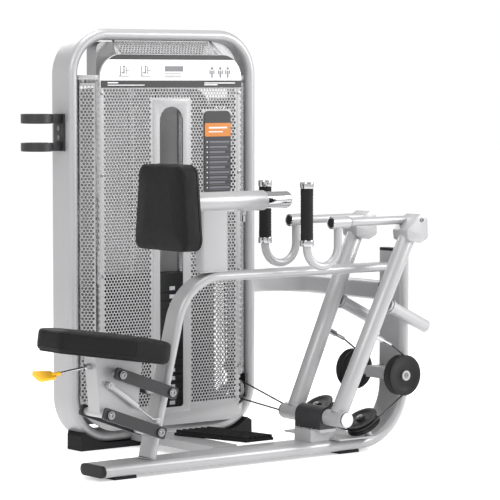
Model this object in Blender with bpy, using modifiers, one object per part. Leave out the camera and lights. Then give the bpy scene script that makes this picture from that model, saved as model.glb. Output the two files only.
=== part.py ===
"""Selectorised vertical row machine: weight tower, base rail, seat, chest pad and two swinging lever arms.

Machine frame: X runs along the base rail from the seat to the rear column, Y from the rail's middle plane
towards the weight tower, and Z up from the floor. An empty moves it so that the origin is the middle of
the footprint. "Near" is the side away from the tower (-Y), and "far" is the side next to it (+Y).
"""

import math

import bmesh
import bpy
from mathutils import Matrix, Vector

GAP = 0.0003  # between faces that touch on the real machine

# Oval steel section, seen along its run: thickness across the bend and width along Y
SECTION_T = 0.040
LOOP_W = 0.127
RAIL_W = 0.138

# Weight tower: an upright loop of oval tube
LOOP_LEFT = 0.0945
LOOP_RIGHT = 0.9285
LOOP_BOTTOM = 0.0215
LOOP_TOP = 1.500
LOOP_CORNER = 0.165
TOWER_X = (LOOP_LEFT + LOOP_RIGHT) / 2
TOWER_Y = 0.6305
LOOP_IN_LEFT = LOOP_LEFT + SECTION_T
LOOP_IN_RIGHT = LOOP_RIGHT - SECTION_T
LOOP_IN_BOTTOM = LOOP_BOTTOM + SECTION_T
LOOP_IN_TOP = LOOP_TOP - SECTION_T
LOOP_IN_CORNER = LOOP_CORNER - SECTION_T

# Shields: folded sheet on the front and the back of the loop
SHEET = 0.003
FACE_HALF = 0.317
FACE_Y = 0.533
WING_HALF = 0.373
WING_Y = 0.589
SHIELD_BOTTOM = 0.066
WING_TOP = 1.335
FACE_TOP = 1.410
REAR_TOP = 1.290
SHIELD_CORNER = 0.120
WINDOW_HALF = 0.052
WINDOW_BOTTOM = 0.131
WINDOW_TOP = 1.222

# Weight stack
PLATE_HALF_X = 0.205
PLATE_HALF_Y = 0.045
PLATE_PITCH = 0.030
PLATE_GROOVE = 0.003
GROOVE_DEPTH = 0.004
RESTING_COUNT = 8
LIFTED_COUNT = 7
STACK_BOTTOM = 0.1256
ROD_X = 0.110
ROD_R = 0.012
STEM_R = 0.010
PIN_R = 0.004
BASE_BEAM_TOP = STACK_BOTTOM - GAP
LIFTED_BOTTOM = STACK_BOTTOM + RESTING_COUNT * PLATE_PITCH + GAP
LIFTED_TOP = LIFTED_BOTTOM + LIFTED_COUNT * PLATE_PITCH
HEAD_BOTTOM = LIFTED_TOP + GAP
HEAD_TOP = HEAD_BOTTOM + 0.038
PIN_Z = LIFTED_BOTTOM + PLATE_PITCH / 2

# Cable wheels of the tower
CABLE_R = 0.003
BEAM_BOTTOM = 1.300
TOP_WHEEL_Z = 1.360
TOP_WHEEL_R = 0.036
TOP_RIGHT_X = 0.808
STRAND_X = TOP_RIGHT_X + TOP_WHEEL_R
EXIT_R = 0.033
EXIT_LOWER = Vector((0.836, 0.567, 0.172))
EXIT_UPPER = Vector((0.853, 0.627, 0.250))
FLOAT_R = 0.030
FLOAT = Vector((STRAND_X, TOWER_Y, 0.950))

# Base rail, bent up into the rear column
RAIL_FRONT = -0.193
RAIL_TOP = 0.050
COLUMN_X = 1.1135
COLUMN_TOP = 0.7047
RAIL_BEND = 0.200
COLUMN_FACE = COLUMN_X - SECTION_T / 2

# Upright: a smaller oval tube that leans, bends and runs level to the column
UPRIGHT_T = 0.030
UPRIGHT_W = 0.080
UPRIGHT_FOOT_X = 0.018
UPRIGHT_LEAN = math.radians(14)
UPRIGHT_BEND = 0.180
UPRIGHT_LEVEL = 0.650

# Chest pad on its sliding tube
CHEST_Z = 0.904
POST_X = 0.2915
SLEEVE_START = 0.170
SLEEVE_END = 0.515
SLIDE_END = 0.626
SLIDE_R = 0.029
SLEEVE_R = 0.0345
PAD_BACK = 0.148
PAD_FRONT = 0.066

# Lever arms: the pivot, the arm's lean from upright and what it carries
PIVOT_X = 0.748
PIVOT_Z = 0.1386
ARM_LEAN = math.radians(25.8)
ARM_TOP_Y = 0.142
ARM_LOW_Y = 0.119
HUB_IN = 0.070
HUB_OUT = 0.168
ARM_R = 0.030
ARM_LENGTH = 0.690
HANDLE_Y = 0.116
HANDLE_Z = 0.823
HANDLE_END = 0.7275
SWIVEL_END = 0.800
GRIP_X = 0.614
GRIP_LOW = 0.768
GRIP_HIGH = 0.945
U_BEND = 0.0695
U_BOTTOM = 0.6737
HANDLE_TUBE_R = 0.014

# Cable wheels at the rear column and beside the pivot
PULLEY_Y = 0.132
REAR_X = 1.0387
REAR_Z = 0.2718
REAR_R = 0.072
REAR_GROOVE_R = 0.062
REAR_HALF = 0.018
LOWER_R = 0.062
LOWER_GROOVE_R = 0.054
LOWER_HALF = 0.017
LOWER_TILT = math.radians(32)
LOWER_NEAR = Vector((0.899, -PULLEY_Y + LOWER_GROOVE_R, 0.1095))
LOWER_FAR = Vector((0.917, PULLEY_Y + LOWER_GROOVE_R, 0.129))

# Seat: pad, carriage and the four pivots of its parallelogram
PAD_X = -0.172
PAD_Z = 0.446
PAD_TILT = math.radians(8.5)
PAD_THICK = 0.080
LINK_TOP_SEAT = (-0.1328, 0.3503)
LINK_LOW_SEAT = (-0.1807, 0.2204)
LINK_TOP_POST = (0.0691, 0.2768)
LINK_LOW_POST = (0.0212, 0.1469)
LINK_Y = 0.062
LINK_PLATE = 0.012
LINK_HEIGHT = 0.040
GAS_TOP = (-0.163, 0.315)
GAS_LOW = (0.022, 0.180)
GAS_Y = -0.0475
LEVER_PIVOT = (-0.2185, 0.375)
LEVER_TIP_X = -0.4135
PADDLE_TILT = math.radians(24)

# The machine's origin in the frame above: the middle of its footprint
WEIGHT_BAR_OUT = 0.228
WEIGHT_BAR_UP = 0.444
WEIGHT_BAR_R = 0.0225
SHAFT_END = 0.176
HEAD_IN = 0.100
HEAD_OUT = 0.178
ARM_DIR = Vector((math.sin(ARM_LEAN), 0.0, math.cos(ARM_LEAN)))
BACK_DIR = Vector((math.cos(ARM_LEAN), 0.0, -math.sin(ARM_LEAN)))
REAR_LIMIT = (
    PIVOT_X + ARM_DIR.x * (WEIGHT_BAR_UP + WEIGHT_BAR_R) + BACK_DIR.x * WEIGHT_BAR_OUT
)
ORIGIN_X = (LEVER_TIP_X + REAR_LIMIT) / 2
ORIGIN_Y = (2 * TOWER_Y - FACE_Y - HEAD_OUT) / 2

SIDES = (("near", -1.0), ("far", 1.0))

PAINTS = {
    "silver_paint": ((0.62, 0.63, 0.65), 0.35, 0.4),
    "white_paint": ((0.86, 0.87, 0.88), 0.4, 0.0),
    "dark_paint": ((0.07, 0.075, 0.08), 0.45, 0.3),
    "chrome": ((0.80, 0.81, 0.83), 0.12, 1.0),
    "rubber": ((0.025, 0.025, 0.027), 0.75, 0.0),
    "black_plastic": ((0.03, 0.03, 0.033), 0.4, 0.0),
    "upholstery": ((0.03, 0.03, 0.035), 0.55, 0.0),
    "cast_plate": ((0.05, 0.05, 0.055), 0.6, 0.5),
    "board_print": ((0.20, 0.20, 0.21), 0.45, 0.0),
    "cable_jacket": ((0.04, 0.04, 0.045), 0.4, 0.0),
    "lever_yellow": ((0.90, 0.55, 0.05), 0.45, 0.0),
}


# ---- Scene and materials ----


def clear_scene():
    for obj in list(bpy.data.objects):
        bpy.data.objects.remove(obj, do_unlink=True)


def new_collection(name):
    collection = bpy.data.collections.new(name)
    bpy.context.scene.collection.children.link(collection)
    return collection


clear_scene()
MODEL = new_collection("vertical_row_machine")
TOOLS = new_collection("cutters")
ORIGIN = bpy.data.objects.new("machine_frame", None)
ORIGIN.location = (-ORIGIN_X, -ORIGIN_Y, 0.0)
MODEL.objects.link(ORIGIN)


def paint_material(name):
    """The material of this name, made the first time it is asked for."""
    material = bpy.data.materials.get(name)
    if material is None:
        colour, roughness, metallic = PAINTS[name]
        material = bpy.data.materials.new(name)
        material.use_nodes = True
        shader = material.node_tree.nodes["Principled BSDF"]
        shader.inputs["Base Color"].default_value = (*colour, 1.0)
        shader.inputs["Roughness"].default_value = roughness
        shader.inputs["Metallic"].default_value = metallic
    return material


# ---- Shapes: each function makes a painted part, or with no paint a hidden tool ----


def new_object(name, data, paint):
    obj = bpy.data.objects.new(name, data)
    obj.parent = ORIGIN
    if paint is None:
        TOOLS.objects.link(obj)
        obj.hide_render = True
        obj.display_type = "WIRE"
    else:
        MODEL.objects.link(obj)
        obj.data.materials.append(paint_material(paint))
    return obj


def object_from_bmesh(name, shape, paint):
    mesh = bpy.data.meshes.new(name)
    shape.to_mesh(mesh)
    shape.free()
    return new_object(name, mesh, paint)


def smooth(obj, degrees=35):
    obj.data.shade_smooth()
    obj.data.set_sharp_from_angle(angle=math.radians(degrees))
    return obj


def bevel(obj, width, segments=2):
    modifier = obj.modifiers.new("bevel", "BEVEL")
    modifier.width = width
    modifier.segments = segments
    modifier.limit_method = "ANGLE"
    return obj


def box(name, low, high, paint=None):
    size = [top - bottom for bottom, top in zip(low, high)]
    middle = [(top + bottom) / 2 for bottom, top in zip(low, high)]
    shape = bmesh.new()
    bmesh.ops.create_cube(shape, size=1.0)
    bmesh.ops.scale(shape, vec=size, verts=shape.verts)
    bmesh.ops.translate(shape, vec=middle, verts=shape.verts)
    return object_from_bmesh(name, shape, paint)


def cylinder(name, start, end, radius, paint=None, sides=16):
    """A round bar from one point to another."""
    start, end = Vector(start), Vector(end)
    run = end - start
    place = Matrix.Translation((start + end) / 2) @ run.to_track_quat("Z", "Y").to_matrix().to_4x4()
    shape = bmesh.new()
    bmesh.ops.create_cone(
        shape,
        cap_ends=True,
        segments=sides,
        radius1=radius,
        radius2=radius,
        depth=run.length,
        matrix=place,
    )
    return smooth(object_from_bmesh(name, shape, paint))


def ring(name, start, end, radius, bore, paint=None, sides=20):
    """A tube with square ends from one point to another."""
    body = cylinder(name, start, end, radius, paint, sides)
    start, end = Vector(start), Vector(end)
    past = (end - start).normalized() * 0.01
    cut(body, cylinder(name + "_bore", start - past, end + past, bore, sides=sides))
    return body


def rounded(corners, steps=6):
    """Points of an outline or a route whose (x, y, radius) corners are turned into arcs."""
    points = []
    count = len(corners)
    for index, (x, y, radius) in enumerate(corners):
        here = Vector((x, y))
        if radius == 0:
            points.append(here)
            continue
        back = (Vector(corners[index - 1][:2]) - here).normalized()
        ahead = (Vector(corners[(index + 1) % count][:2]) - here).normalized()
        half = back.angle(ahead) / 2
        centre = here + (back + ahead).normalized() * radius / math.sin(half)
        first = here + back * radius / math.tan(half) - centre
        last = here + ahead * radius / math.tan(half) - centre
        start = math.atan2(first.y, first.x)
        sweep = (math.atan2(last.y, last.x) - start + math.pi) % (2 * math.pi) - math.pi
        for step in range(steps + 1):
            angle = start + sweep * step / steps
            points.append(centre + radius * Vector((math.cos(angle), math.sin(angle))))
    return points


def circle(x, y, radius, sides=24):
    turns = [2 * math.pi * step / sides for step in range(sides)]
    return [Vector((x + radius * math.cos(turn), y + radius * math.sin(turn))) for turn in turns]


def curve_to_mesh(curve_obj, name, paint):
    """The curve's evaluated mesh as an object of its own, with its caps welded."""
    bpy.context.view_layer.update()
    graph = bpy.context.evaluated_depsgraph_get()
    mesh = bpy.data.meshes.new_from_object(curve_obj.evaluated_get(graph))
    mesh.transform(curve_obj.matrix_basis)
    shape = bmesh.new()
    shape.from_mesh(mesh)
    bmesh.ops.remove_doubles(shape, verts=shape.verts, dist=0.00002)
    bmesh.ops.recalc_face_normals(shape, faces=shape.faces)
    bpy.data.objects.remove(curve_obj, do_unlink=True)
    return smooth(object_from_bmesh(name, shape, paint))


def new_curve(name, splines, cyclic, dimensions):
    curve = bpy.data.curves.new(name, "CURVE")
    curve.dimensions = dimensions
    for points in splines:
        spline = curve.splines.new("POLY")
        spline.points.add(len(points) - 1)
        for point, place in zip(spline.points, points):
            point.co = (*Vector(place).to_3d(), 1.0)
        spline.use_cyclic_u = cyclic
    obj = bpy.data.objects.new(name, curve)
    TOOLS.objects.link(obj)
    return obj


PLANES = {
    "XY": Matrix(((1, 0, 0), (0, 1, 0), (0, 0, 1))),
    "XZ": Matrix(((1, 0, 0), (0, 0, -1), (0, 1, 0))),
    "YZ": Matrix(((0, 0, 1), (1, 0, 0), (0, 1, 0))),
}


def plate(name, outlines, plane, low, high, paint=None):
    """A flat outline, with any further outlines as holes, as thick as from low to high across its plane."""
    obj = new_curve(name, outlines, True, "2D")
    obj.data.fill_mode = "BOTH"
    obj.data.extrude = (high - low) / 2
    turn = PLANES[plane].to_4x4()
    across = turn.to_3x3() @ Vector((0, 0, 1))
    across = Vector([abs(value) for value in across])
    obj.matrix_basis = Matrix.Translation(across * (low + high) / 2) @ turn
    return curve_to_mesh(obj, name, paint)


def oval_tube(name, route, middle, thickness, width, paint=None, plane="XZ", cyclic=False, ends=4):
    """A tube of oval section along a flat route; its width lies across the route's plane, at middle."""
    flat = (width - thickness) / 2
    radius = thickness / 2
    section = []
    for centre, start in ((flat, 0.0), (-flat, math.pi)):
        for step in range(ends + 1):
            angle = start + math.pi * step / ends
            section.append(Vector((radius * math.cos(angle), centre + radius * math.sin(angle))))
    profile = new_curve(name + "_section", [section], True, "2D")
    profile.data.fill_mode = "NONE"
    obj = new_curve(name, [route], cyclic, "2D")
    obj.data.fill_mode = "NONE"
    obj.data.bevel_mode = "OBJECT"
    obj.data.bevel_object = profile
    obj.data.use_fill_caps = not cyclic
    turn = PLANES[plane].to_4x4()
    across = turn.to_3x3() @ Vector((0, 0, 1))
    across = Vector([abs(value) for value in across])
    obj.matrix_basis = Matrix.Translation(across * middle) @ turn
    made = curve_to_mesh(obj, name, paint)
    bpy.data.objects.remove(profile, do_unlink=True)
    return made


def round_tube(name, route, radius, paint=None, resolution=3):
    """A round bar bent along a list of points."""
    obj = new_curve(name, [route], False, "3D")
    obj.data.bevel_depth = radius
    obj.data.bevel_resolution = resolution
    obj.data.use_fill_caps = True
    return curve_to_mesh(obj, name, paint)


def turned(name, profile, centre, axis, paint, steps=20):
    """A closed (radius, height) profile turned about an axis through its centre."""
    shape = bmesh.new()
    verts = [shape.verts.new((radius, 0.0, height)) for radius, height in profile]
    for index, vert in enumerate(verts):
        shape.edges.new((verts[index - 1], vert))
    obj = object_from_bmesh(name, shape, paint)
    obj.location = centre
    obj.rotation_euler = Vector(axis).to_track_quat("Z", "Y").to_euler()
    modifier = obj.modifiers.new("turn", "SCREW")
    modifier.axis = "Z"
    modifier.steps = steps
    modifier.render_steps = steps
    modifier.use_merge_vertices = True
    modifier.merge_threshold = 0.00001
    modifier.use_smooth_shade = True
    return obj


def combine(obj, operation, tools):
    for tool in tools:
        modifier = obj.modifiers.new(operation.lower(), "BOOLEAN")
        modifier.operation = operation
        modifier.object = tool
    return obj


def join(obj, *tools):
    return combine(obj, "UNION", tools)


def cut(obj, *tools):
    return combine(obj, "DIFFERENCE", tools)


def cable_wheel(name, centre, axis, radius, groove_r, half, bore, paint="black_plastic", steps=20):
    """A grooved wheel: its rim, a V groove down to groove_r less the cable, a thinner web and its bore."""
    root = groove_r - CABLE_R - GAP
    lip = half * 0.8
    profile = (
        (radius, half),
        (radius, lip),
        (root, CABLE_R),
        (root, -CABLE_R),
        (radius, -lip),
        (radius, -half),
        (bore, -half),
        (bore, half),
    )
    return turned(name, profile, centre, axis, paint, steps)


# ---- Weight tower ----


def tower_loop():
    half = SECTION_T / 2
    corner = LOOP_CORNER - half
    route = rounded(
        [
            (LOOP_LEFT + half, LOOP_BOTTOM + half, corner),
            (LOOP_RIGHT - half, LOOP_BOTTOM + half, corner),
            (LOOP_RIGHT - half, LOOP_TOP - half, corner),
            (LOOP_LEFT + half, LOOP_TOP - half, corner),
        ],
        steps=6,
    )
    oval_tube("tower_loop", route, TOWER_Y, SECTION_T, LOOP_W, "silver_paint", cyclic=True)


def tower_foot(name, mirrored):
    """A rubber wedge whose top follows the loop's bent corner."""
    centre = Vector((LOOP_LEFT + LOOP_CORNER, LOOP_BOTTOM + LOOP_CORNER))
    radius = LOOP_CORNER + 2 * GAP
    outline = [Vector((0.128, 0.0)), Vector((0.400, 0.0)), Vector((0.400, LOOP_BOTTOM - 2 * GAP))]
    for degrees in range(270, 227, -6):
        turn = math.radians(degrees)
        outline.append(centre + radius * Vector((math.cos(turn), math.sin(turn))))
    outline.append(Vector((0.1285, 0.052)))
    corner = [Vector((0.120, 0.6325)), Vector((0.200, 0.7345)), Vector((0.120, 0.7345))]
    if mirrored:
        outline = [Vector((2 * TOWER_X - point.x, point.y)) for point in reversed(outline)]
        corner = [Vector((2 * TOWER_X - point.x, point.y)) for point in reversed(corner)]
    cut(
        plate(name, [outline], "XZ", 0.5535, 0.7245, "rubber"),
        plate("foot_corner", [corner], "XY", -0.01, 0.1),
    )


def shield(name, front, paint):
    """A folded sheet: a flat face, a wing sloping back on each side, all within the loop's opening."""
    high = FACE_TOP if front else REAR_TOP
    wing_high = WING_TOP if front else REAR_TOP - 0.04

    def depth(y):
        return y if front else 2 * TOWER_Y - y

    left, right = TOWER_X - FACE_HALF, TOWER_X + FACE_HALF
    face = rounded(
        [
            (left, SHIELD_BOTTOM, 0),
            (right, SHIELD_BOTTOM, 0),
            (right, high, 0.09),
            (left, high, 0.09),
        ]
    )
    outlines = [face]
    if front:
        outlines.append(
            rounded(
                [
                    (TOWER_X - WINDOW_HALF, WINDOW_BOTTOM, 0.012),
                    (TOWER_X + WINDOW_HALF, WINDOW_BOTTOM, 0.012),
                    (TOWER_X + WINDOW_HALF, WINDOW_TOP, WINDOW_HALF - 0.0005),
                    (TOWER_X - WINDOW_HALF, WINDOW_TOP, WINDOW_HALF - 0.0005),
                ]
            )
        )
    low_y, high_y = sorted((depth(FACE_Y), depth(FACE_Y + SHEET)))
    body = plate(name, outlines, "XZ", low_y, high_y, paint)
    for side in (-1, 1):
        corners = (
            (FACE_HALF, FACE_Y),
            (WING_HALF, WING_Y),
            (WING_HALF - 0.0021, WING_Y + 0.0021),
            (FACE_HALF - 0.0012, FACE_Y + SHEET),
        )
        outline = [Vector((TOWER_X + side * x, depth(y))) for x, y in corners]
        join(body, plate(f"{name}_wing", [outline], "XY", SHIELD_BOTTOM, wing_high))
    if front:
        slope = [
            Vector(point)
            for point in ((0.533, 1.403), (0.536, 1.403), (0.591, 1.456), (0.5885, 1.4592))
        ]
        join(body, plate("top_slope", [slope], "YZ", 0.270, 0.753))
    limit = rounded(
        [
            (LOOP_IN_LEFT + 0.0045, SHIELD_BOTTOM, SHIELD_CORNER),
            (LOOP_IN_RIGHT - 0.0045, SHIELD_BOTTOM, SHIELD_CORNER),
            (LOOP_IN_RIGHT - 0.0045, 1.55, 0),
            (LOOP_IN_LEFT + 0.0045, 1.55, 0),
        ]
    )
    combine(body, "INTERSECT", [plate(f"{name}_limit", [limit], "XZ", 0.45, 0.80)])
    if front:
        cut(body, box("exit_slot", (0.812, 0.50, 0.122), (0.877, 0.62, 0.230)))


def head_placard():
    half = FACE_HALF - 0.0035
    outline = rounded(
        [
            (TOWER_X - half, 1.291, 0),
            (TOWER_X + half, 1.291, 0),
            (TOWER_X + half, 1.4085, 0.086),
            (TOWER_X - half, 1.4085, 0.086),
        ]
    )
    plate("head_placard", [outline], "XZ", FACE_Y - GAP - 0.006, FACE_Y - GAP, "white_paint")


def instruction_board():
    outline = rounded(
        [(0.657, 0.909, 0.01), (0.778, 0.909, 0.01), (0.778, 1.205, 0.02), (0.657, 1.205, 0.02)], steps=4
    )
    plate("instruction_board", [outline], "XZ", FACE_Y - GAP - 0.004, FACE_Y - GAP, "board_print")


def top_beam():
    """The channel under the loop's top that carries the two upper cable wheels."""
    outline = rounded(
        [(0.230, BEAM_BOTTOM, 0), (0.860, BEAM_BOTTOM, 0), (0.860, 1.4545, 0.10), (0.230, 1.4545, 0.03)]
    )
    body = plate("top_beam", [outline], "XZ", TOWER_Y - 0.030, TOWER_Y + 0.030, "silver_paint")
    cut(body, box("beam_slot", (0.245, TOWER_Y - 0.018, 1.28), (0.855, TOWER_Y + 0.018, 1.412)))
    for x in (TOWER_X + TOP_WHEEL_R, TOP_RIGHT_X):
        axle = cylinder(
            "top_axle", (x, TOWER_Y - 0.025, TOP_WHEEL_Z), (x, TOWER_Y + 0.025, TOP_WHEEL_Z), 0.006, sides=16
        )
        join(body, axle)


def base_beam():
    """The stack's seat across the loop's bottom, with the exit wheels' bracket at its right end."""
    body = box(
        "base_beam", (0.300, 0.585, LOOP_IN_BOTTOM + GAP), (0.722, 0.676, BASE_BEAM_TOP), "dark_paint"
    )
    arm = box("exit_arm", (0.700, 0.606, 0.105), (0.845, 0.650, 0.1245))
    step = box("exit_step", (0.800, 0.605, 0.107), (0.8445, 0.652, 0.1385))
    shelf = box("exit_shelf", (0.830, 0.604, 0.129), (0.8727, 0.656, 0.1395))
    cheek = box("exit_cheek", (0.866, 0.556, 0.140), (0.873, 0.640, 0.226))
    riser = box("exit_riser", (0.866, 0.602, 0.1295), (0.873, 0.658, 0.272))
    join(body, arm, step, shelf, riser, cheek)
    for centre in (EXIT_LOWER, EXIT_UPPER):
        start = centre - Vector((0.0075, 0, 0))
        join(body, cylinder("exit_axle", start, (0.870, centre.y, centre.z), 0.005, sides=16))


def guide_rods():
    for name, side in (("guide_rod_left", -1), ("guide_rod_right", 1)):
        x = TOWER_X + side * ROD_X
        cylinder(
            name,
            (x, TOWER_Y, BASE_BEAM_TOP + GAP),
            (x, TOWER_Y, BEAM_BOTTOM - GAP),
            ROD_R,
            "chrome",
            sides=16,
        )


def stack_holes(body, low, high, stem=True):
    """The holes that the guide rods and the selector stem pass through."""
    for side in (-1, 1):
        x = TOWER_X + side * ROD_X
        cut(body, cylinder("rod_hole", (x, TOWER_Y, low), (x, TOWER_Y, high), ROD_R + 0.0007, sides=16))
    if stem:
        cut(
            body,
            cylinder(
                "stem_hole", (TOWER_X, TOWER_Y, low), (TOWER_X, TOWER_Y, high), STEM_R + 0.0012, sides=16
            ),
        )


def plate_block(name, bottom, count, first_cut=None):
    """Weight plates that stay together, with a groove all round between each pair."""
    levels = []
    for index in range(count):
        low = bottom + index * PLATE_PITCH
        last = index == count - 1
        high = low + PLATE_PITCH - (0 if last else PLATE_GROOVE)
        levels += [(0, low), (0, high)]
        if not last:
            levels += [(GROOVE_DEPTH, high), (GROOVE_DEPTH, high + PLATE_GROOVE)]
    shape = bmesh.new()
    rows = []
    for inset, z in levels:
        half_x, half_y = PLATE_HALF_X - inset, PLATE_HALF_Y - inset
        corners = ((-half_x, -half_y), (half_x, -half_y), (half_x, half_y), (-half_x, half_y))
        rows.append([shape.verts.new((TOWER_X + x, TOWER_Y + y, z)) for x, y in corners])
    for lower, upper in zip(rows, rows[1:]):
        for index in range(4):
            after = (index + 1) % 4
            shape.faces.new((lower[index], lower[after], upper[after], upper[index]))
    shape.faces.new(list(reversed(rows[0])))
    shape.faces.new(rows[-1])
    body = object_from_bmesh(name, shape, "cast_plate")
    if first_cut:
        cut(body, first_cut)
    stack_holes(body, bottom - 0.01, bottom + count * PLATE_PITCH + 0.01)
    return body


def pin_hole(front):
    return cylinder(
        "pin_hole", (TOWER_X, front, PIN_Z), (TOWER_X, TOWER_Y + 0.014, PIN_Z), PIN_R + 0.0007, sides=10
    )


def weight_stack():
    plate_block("resting_plates", STACK_BOTTOM, RESTING_COUNT)
    plate_block("lifted_plates", LIFTED_BOTTOM, LIFTED_COUNT, pin_hole(TOWER_Y - PLATE_HALF_Y - 0.02))
    head = box(
        "head_plate",
        (TOWER_X - PLATE_HALF_X, TOWER_Y - PLATE_HALF_Y, HEAD_BOTTOM),
        (TOWER_X + PLATE_HALF_X, TOWER_Y + PLATE_HALF_Y, HEAD_TOP),
        "cast_plate",
    )
    stack_holes(head, HEAD_BOTTOM - 0.01, HEAD_TOP + 0.01, stem=False)
    join(
        head,
        cylinder("stem", (TOWER_X, TOWER_Y, 0.150), (TOWER_X, TOWER_Y, HEAD_TOP - 0.01), STEM_R, sides=16),
    )
    join(
        head,
        cylinder(
            "boss", (TOWER_X, TOWER_Y, HEAD_TOP - 0.01), (TOWER_X, TOWER_Y, HEAD_TOP + 0.03), 0.016, sides=16
        ),
    )
    cut(head, pin_hole(TOWER_Y - 0.02))


def selector_pin():
    shaft = cylinder(
        "selector_pin", (TOWER_X, 0.560, PIN_Z), (TOWER_X, TOWER_Y + 0.009, PIN_Z), PIN_R, "chrome", sides=12
    )
    join(shaft, cylinder("pin_knob", (TOWER_X, 0.547, PIN_Z), (TOWER_X, 0.571, PIN_Z), 0.011, sides=16))


def tower_wheels():
    radius = TOP_WHEEL_R + 0.006
    for name, x in (("top_pulley_left", TOWER_X + TOP_WHEEL_R), ("top_pulley_right", TOP_RIGHT_X)):
        cable_wheel(
            name, (x, TOWER_Y, TOP_WHEEL_Z), (0, 1, 0), radius - 0.002, TOP_WHEEL_R, 0.007, 0.0066, steps=16
        )
    for name, centre in (("exit_pulley_lower", EXIT_LOWER), ("exit_pulley_upper", EXIT_UPPER)):
        cable_wheel(name, centre, (1, 0, 0), EXIT_R + 0.003, EXIT_R, 0.0065, 0.0055, "silver_paint", 16)


def floating_pulley():
    """The wheel that the lift cable loops over, fixed in the yoke that pulls the stack's cable down."""
    body = cable_wheel(
        "floating_pulley", FLOAT, (1, 0, 0), FLOAT_R + 0.004, FLOAT_R, 0.007, 0.005, "dark_paint", 16
    )
    top = FLOAT.z + 0.085
    join(
        body,
        cylinder("yoke_axle", FLOAT - Vector((0.011, 0, 0)), FLOAT + Vector((0.011, 0, 0)), 0.007, sides=16),
    )
    for side in (-1, 1):
        low_x, high_x = sorted((FLOAT.x + side * 0.0085, FLOAT.x + side * 0.0125))
        join(body, box("cheek", (low_x, FLOAT.y - 0.012, FLOAT.z - 0.012), (high_x, FLOAT.y + 0.012, top)))
    join(
        body,
        box(
            "bridge",
            (FLOAT.x - 0.0125, FLOAT.y - 0.012, top - 0.035),
            (FLOAT.x + 0.0125, FLOAT.y + 0.012, top),
        ),
    )


def stack_cable():
    """From the head plate, over both top wheels and down to the floating pulley's yoke."""
    left = TOWER_X + TOP_WHEEL_R
    points = [Vector((TOWER_X, TOWER_Y, HEAD_TOP + 0.03 + GAP))]
    for centre_x, start in ((left, 180), (TOP_RIGHT_X, 90)):
        for degrees in range(start, start - 91, -10):
            turn = math.radians(degrees)
            points.append(
                Vector(
                    (
                        centre_x + TOP_WHEEL_R * math.cos(turn),
                        TOWER_Y,
                        TOP_WHEEL_Z + TOP_WHEEL_R * math.sin(turn),
                    ),
                )
            )
    points.append(Vector((STRAND_X, TOWER_Y, FLOAT.z + 0.085 + GAP)))
    round_tube("stack_cable", points, CABLE_R, "cable_jacket", resolution=1)


def bottle_holder():
    """A bracket on the loop's left side with an upper hoop and a lower cup."""
    side_x = LOOP_LEFT - GAP
    middle_x, radius = -0.004, 0.056
    body = box(
        "bottle_holder",
        (side_x - 0.006, TOWER_Y - 0.034, 1.067),
        (side_x, TOWER_Y + 0.034, 1.199),
        "dark_paint",
    )
    for low, high in ((1.165, 1.199), (1.067, 1.0975)):
        hoop = cylinder("hoop", (middle_x, TOWER_Y, low), (middle_x, TOWER_Y, high), radius, sides=24)
        neck = box(
            "neck",
            (middle_x + radius - 0.012, TOWER_Y - 0.022, low),
            (side_x - 0.004, TOWER_Y + 0.022, high),
        )
        join(body, hoop, neck)
    for low, high in ((1.15, 1.21), (1.073, 1.11)):
        cut(
            body,
            cylinder(
                "bottle_space", (middle_x, TOWER_Y, low), (middle_x, TOWER_Y, high), radius - 0.006, sides=24
            ),
        )


# ---- Main frame ----


def base_rail():
    middle = RAIL_TOP - SECTION_T / 2
    route = rounded(
        [(RAIL_FRONT, middle, 0), (COLUMN_X, middle, RAIL_BEND), (COLUMN_X, COLUMN_TOP, 0)], steps=8
    )
    oval_tube("base_rail", route, 0.0, SECTION_T, RAIL_W, "silver_paint")
    plug = [(RAIL_FRONT - GAP, middle), (RAIL_FRONT - 0.012, middle)]
    oval_tube("rail_end_cap", plug, 0.0, SECTION_T, RAIL_W, "black_plastic")
    plug = [(COLUMN_X, COLUMN_TOP + GAP), (COLUMN_X, COLUMN_TOP + 0.010)]
    oval_tube("column_cap", plug, 0.0, SECTION_T, RAIL_W, "black_plastic")
    foot_top = RAIL_TOP - SECTION_T - GAP
    for name, low_x, high_x in (("rail_foot_front", -0.153, -0.064), ("rail_foot_rear", 0.814, 0.903)):
        box(name, (low_x, -0.056, 0.0), (high_x, 0.056, foot_top), "rubber")


def upright_route(start):
    corner_x = UPRIGHT_FOOT_X + (UPRIGHT_LEVEL - RAIL_TOP) * math.tan(UPRIGHT_LEAN)
    start_x = UPRIGHT_FOOT_X + (start - RAIL_TOP) * math.tan(UPRIGHT_LEAN)
    end_x = COLUMN_FACE - GAP
    return rounded(
        [(start_x, start, 0), (corner_x, UPRIGHT_LEVEL, UPRIGHT_BEND), (end_x, UPRIGHT_LEVEL, 0)], steps=6
    )


def upright_tube():
    """Leaning post and level bar in one bent tube, with the bosses and the lug that carry the seat."""
    body = oval_tube(
        "upright_tube", upright_route(RAIL_TOP + 0.0045), 0.0, UPRIGHT_T, UPRIGHT_W, "silver_paint"
    )
    reach = LINK_Y - GAP
    for x, z in (LINK_TOP_POST, LINK_LOW_POST):
        join(body, cylinder("post_boss", (x, -reach, z), (x, reach, z), 0.017))
    x, z = GAS_LOW
    join(body, box("gas_lug", (x - 0.009, -0.040, z - 0.010), (x + 0.025, -0.028, z + 0.010)))
    join(body, cylinder("gas_lug_pin", (x, -0.036, z), (x, -0.058, z), 0.005, sides=16))
    for x, z in (LINK_TOP_POST, LINK_LOW_POST):
        cut(body, cylinder("boss_bore", (x, -0.09, z), (x, 0.09, z), 0.0078))


def low_brace():
    box(
        "low_brace",
        (0.352, RAIL_W / 2 + 2 * GAP, 0.022),
        (0.452, TOWER_Y - LOOP_W / 2 - 2 * GAP, 0.052),
        "silver_paint",
    )


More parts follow.
